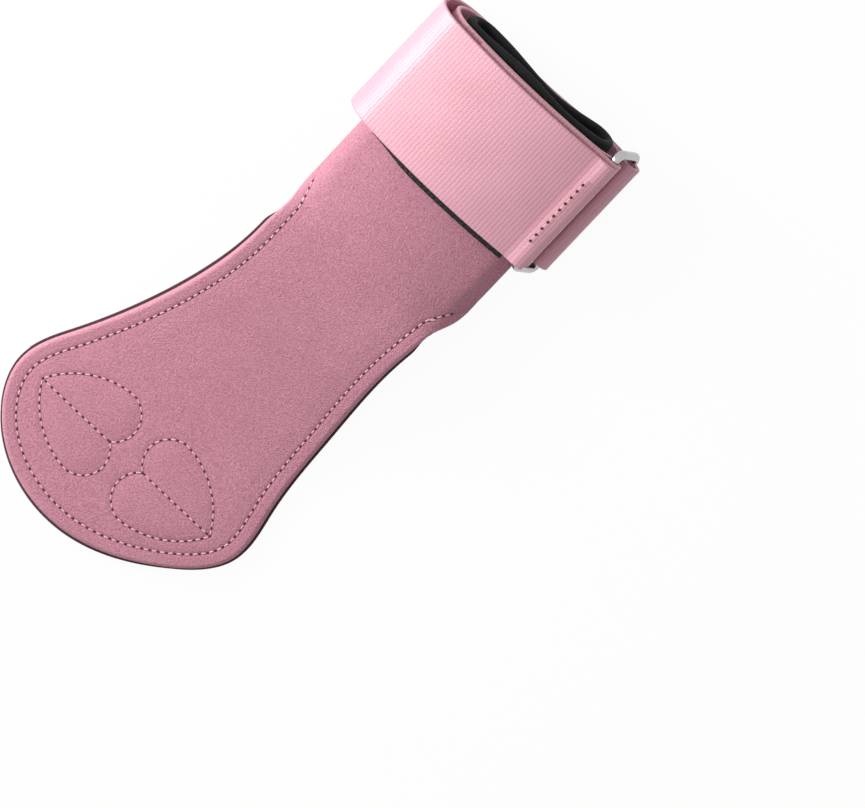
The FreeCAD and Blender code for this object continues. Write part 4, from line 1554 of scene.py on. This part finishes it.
    def build_steel(self) -> bpy.types.Material:
        """Plated steel wire, bright, with faint drawing marks in its gloss."""
        t = self.tones
        material, w, shader = self.blank("steel")
        self.plain(shader, {"Base Color": t.steel, "Metallic": 1.0})
        fleck = w.group(self.effects.fleck, {"Broad": 140.0, "Fine": 1400.0})
        self.matte(w, shader, 0.09, fleck.outputs["Cloud"], 0.10)
        self.bump(w, shader, fleck.outputs["Fleck"], 0.00002, 0.25)
        return material


@dataclass(frozen=True)
class View:
    """Photograph's view: tilt, scale and the place looked at, through a long lens from far away."""

    tilt: float = 16.0
    across: float = 50.1
    along: float = -2.7
    image_width: float = 865.0
    scale: float = 2.82
    distance: float = 6.0
    turn_right: tuple[float, float] = (0.7264, 0.6873)


class Studio:
    """Floor, soft lights and camera."""

    FLOOR_HALF = 6.0
    FLOOR_DEPTH = 0.0003
    SENSOR = 36.0
    LAMP_DISTANCE = 0.9
    LAMPS = (("key", (-0.85, 0.62, 0.46), 0.42, 9.5), ("satin", (-0.52, 0.16, 1.0), 0.35, 1.3),
             ("fill", (0.1, -0.1, 1.0), 0.9, 0.3))

    def __init__(self, place: Place, view: View) -> None:
        """Work out the camera's own axes from the tilt and the turn of the brace in the picture."""
        self.view = view
        tilt = math.radians(view.tilt)
        hand = np.array([0.0, math.cos(tilt), -math.sin(tilt)])
        across = np.array([1.0, 0.0, 0.0])
        self.toward = np.array([0.0, math.sin(tilt), math.cos(tilt)])
        a, b = view.turn_right
        self.right = a * across + b * hand
        self.up = -b * across + a * hand
        origin = np.array([place.x, place.y, 0.0]) * MM
        self.target = origin + (view.across * across + view.along * hand) * MM

    def turned(self, item: bpy.types.Object, right: np.ndarray, up: np.ndarray, back: np.ndarray,
               spot: np.ndarray) -> None:
        """Place an object with its X, Y and Z along three directions."""
        matrix = Matrix.Identity(4)
        for column, axis in enumerate((right, up, back, spot)):
            for row in range(3):
                matrix[row][column] = float(axis[row])
        item.matrix_world = matrix

    def camera(self) -> None:
        """Long lens straight at the target, with the picture's width at the brace's distance."""
        view = self.view
        lens = bpy.data.cameras.new("camera")
        lens.sensor_fit = "HORIZONTAL"
        lens.sensor_width = self.SENSOR
        width = view.image_width / view.scale * MM
        lens.lens = self.SENSOR * view.distance / width
        lens.clip_start, lens.clip_end = 0.1, 20.0
        item = bpy.data.objects.new("camera", lens)
        bpy.context.scene.collection.objects.link(item)
        self.turned(item, self.right, self.up, self.toward, self.target + self.toward * view.distance)
        bpy.context.scene.camera = item

    def lamp(self, name: str, way: tuple[float, float, float], size: float, power: float) -> None:
        """Square soft light, placed by its direction to the right, up and toward the camera."""
        light = bpy.data.lights.new(name, "AREA")
        light.size, light.energy = size, power
        item = bpy.data.objects.new(name, light)
        bpy.context.scene.collection.objects.link(item)
        back = way[0] * self.right + way[1] * self.up + way[2] * self.toward
        back /= np.linalg.norm(back)
        side = np.cross(self.up, back)
        side /= np.linalg.norm(side)
        self.turned(item, side, np.cross(back, side), back, self.target + back * self.LAMP_DISTANCE)

    def floor(self) -> None:
        """Wide pale floor, nearly white to the camera and in reflections, that keeps a faint shadow."""
        mesh = bpy.data.meshes.new("floor")
        ends = ((-1, -1), (1, -1), (1, 1), (-1, 1))
        spots = [(x * self.FLOOR_HALF, y * self.FLOOR_HALF, -self.FLOOR_DEPTH) for x, y in ends]
        mesh.from_pydata(spots, [], [(0, 1, 2, 3)])
        item = bpy.data.objects.new("floor", mesh)
        bpy.context.scene.collection.objects.link(item)
        material = bpy.data.materials.new("floor")
        material.use_nodes = True
        w = Wiring(material.node_tree)
        material.node_tree.nodes.clear()
        path = w.node("ShaderNodeLightPath")
        seen = w.math("MAXIMUM", path.outputs["Is Camera Ray"], path.outputs["Is Glossy Ray"])
        seen = w.math("MAXIMUM", seen, path.outputs["Is Transmission Ray"])
        matte = w.node("ShaderNodeBsdfDiffuse", {"Color": (0.86, 0.86, 0.86, 1.0)})
        white = w.node("ShaderNodeEmission", {"Color": (1.0, 1.0, 1.0, 1.0), "Strength": 1.0})
        share = w.math("MULTIPLY", seen, 0.95)
        both = w.node("ShaderNodeMixShader", {0: share, 1: matte.outputs[0], 2: white.outputs[0]})
        w.node("ShaderNodeOutputMaterial", {0: both.outputs[0]})
        mesh.materials.append(material)
        item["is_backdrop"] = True

    def sky(self) -> None:
        """Even white surroundings, brighter to the camera than as light."""
        world = bpy.data.worlds.new("surroundings")
        bpy.context.scene.world = world
        world.use_nodes = True
        w = Wiring(world.node_tree)
        world.node_tree.nodes.clear()
        path = w.node("ShaderNodeLightPath")
        seen = w.math("MAXIMUM", path.outputs["Is Camera Ray"], path.outputs["Is Glossy Ray"])
        strength = w.math("ADD", 0.34, w.math("MULTIPLY", seen, 0.66))
        shade = w.node("ShaderNodeBackground", {"Color": (1.0, 1.0, 1.0, 1.0), "Strength": strength})
        w.node("ShaderNodeOutputWorld", {0: shade.outputs[0]})

    def build(self) -> None:
        """Set the plain view transform, and build floor, lights and camera."""
        bpy.context.scene.view_settings.view_transform = "Standard"
        self.floor()
        self.sky()
        for lamp in self.LAMPS:
            self.lamp(*lamp)
        self.camera()


def find_place() -> Place:
    """Cuff's own origin in the frame, from the box of the padded loop."""
    low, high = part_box("cuff_neoprene")
    return Place((low[0] + high[0]) / 2 / MM, high[1] / MM - CuffSizes().neoprene_high, high[2] / MM)


def corners() -> list[list[float]]:
    """Box of everything in the model, as plain numbers."""
    return [[float(value) for value in corner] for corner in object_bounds()]


def dress(piece: bpy.types.Object, material: bpy.types.Material) -> None:
    """Give a piece its one material."""
    piece.data.materials.clear()
    piece.data.materials.append(material)


def main() -> None:
    """Build the brace's pieces from the palm to the ring, dress them and set the studio."""
    logging.basicConfig(level=logging.INFO, format="%(name)s %(message)s")
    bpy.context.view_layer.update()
    place = find_place()
    shop = Workshop(place)
    section = CuffSection(CuffSizes())
    finishes = Finishes(Tones())
    pad = PalmPad(shop, LeatherMap(PalmSizes(), section))
    sewing = Sewing(shop, pad)
    straps = StrapSet(shop, section)
    dress(pad.suede(), finishes.suede)
    dress(pad.lining(), finishes.lining)
    for threads, holes in (sewing.sew_pad(), sewing.sew_hem(section)):
        dress(threads, finishes.thread)
        dress(holes, finishes.hole_shade)
    dress(Cuff(shop, section).neoprene(), finishes.neoprene)
    for piece in (straps.rounds(), straps.flap(), straps.tab()):
        dress(piece, finishes.webbing)
    hook, loop = straps.tapes()
    dress(hook, finishes.hook)
    dress(loop, finishes.loop)
    dress(SteelRing(shop, section).wire(), finishes.steel)
    Studio(place, View()).build()


if __name__ == "__main__":
    main()
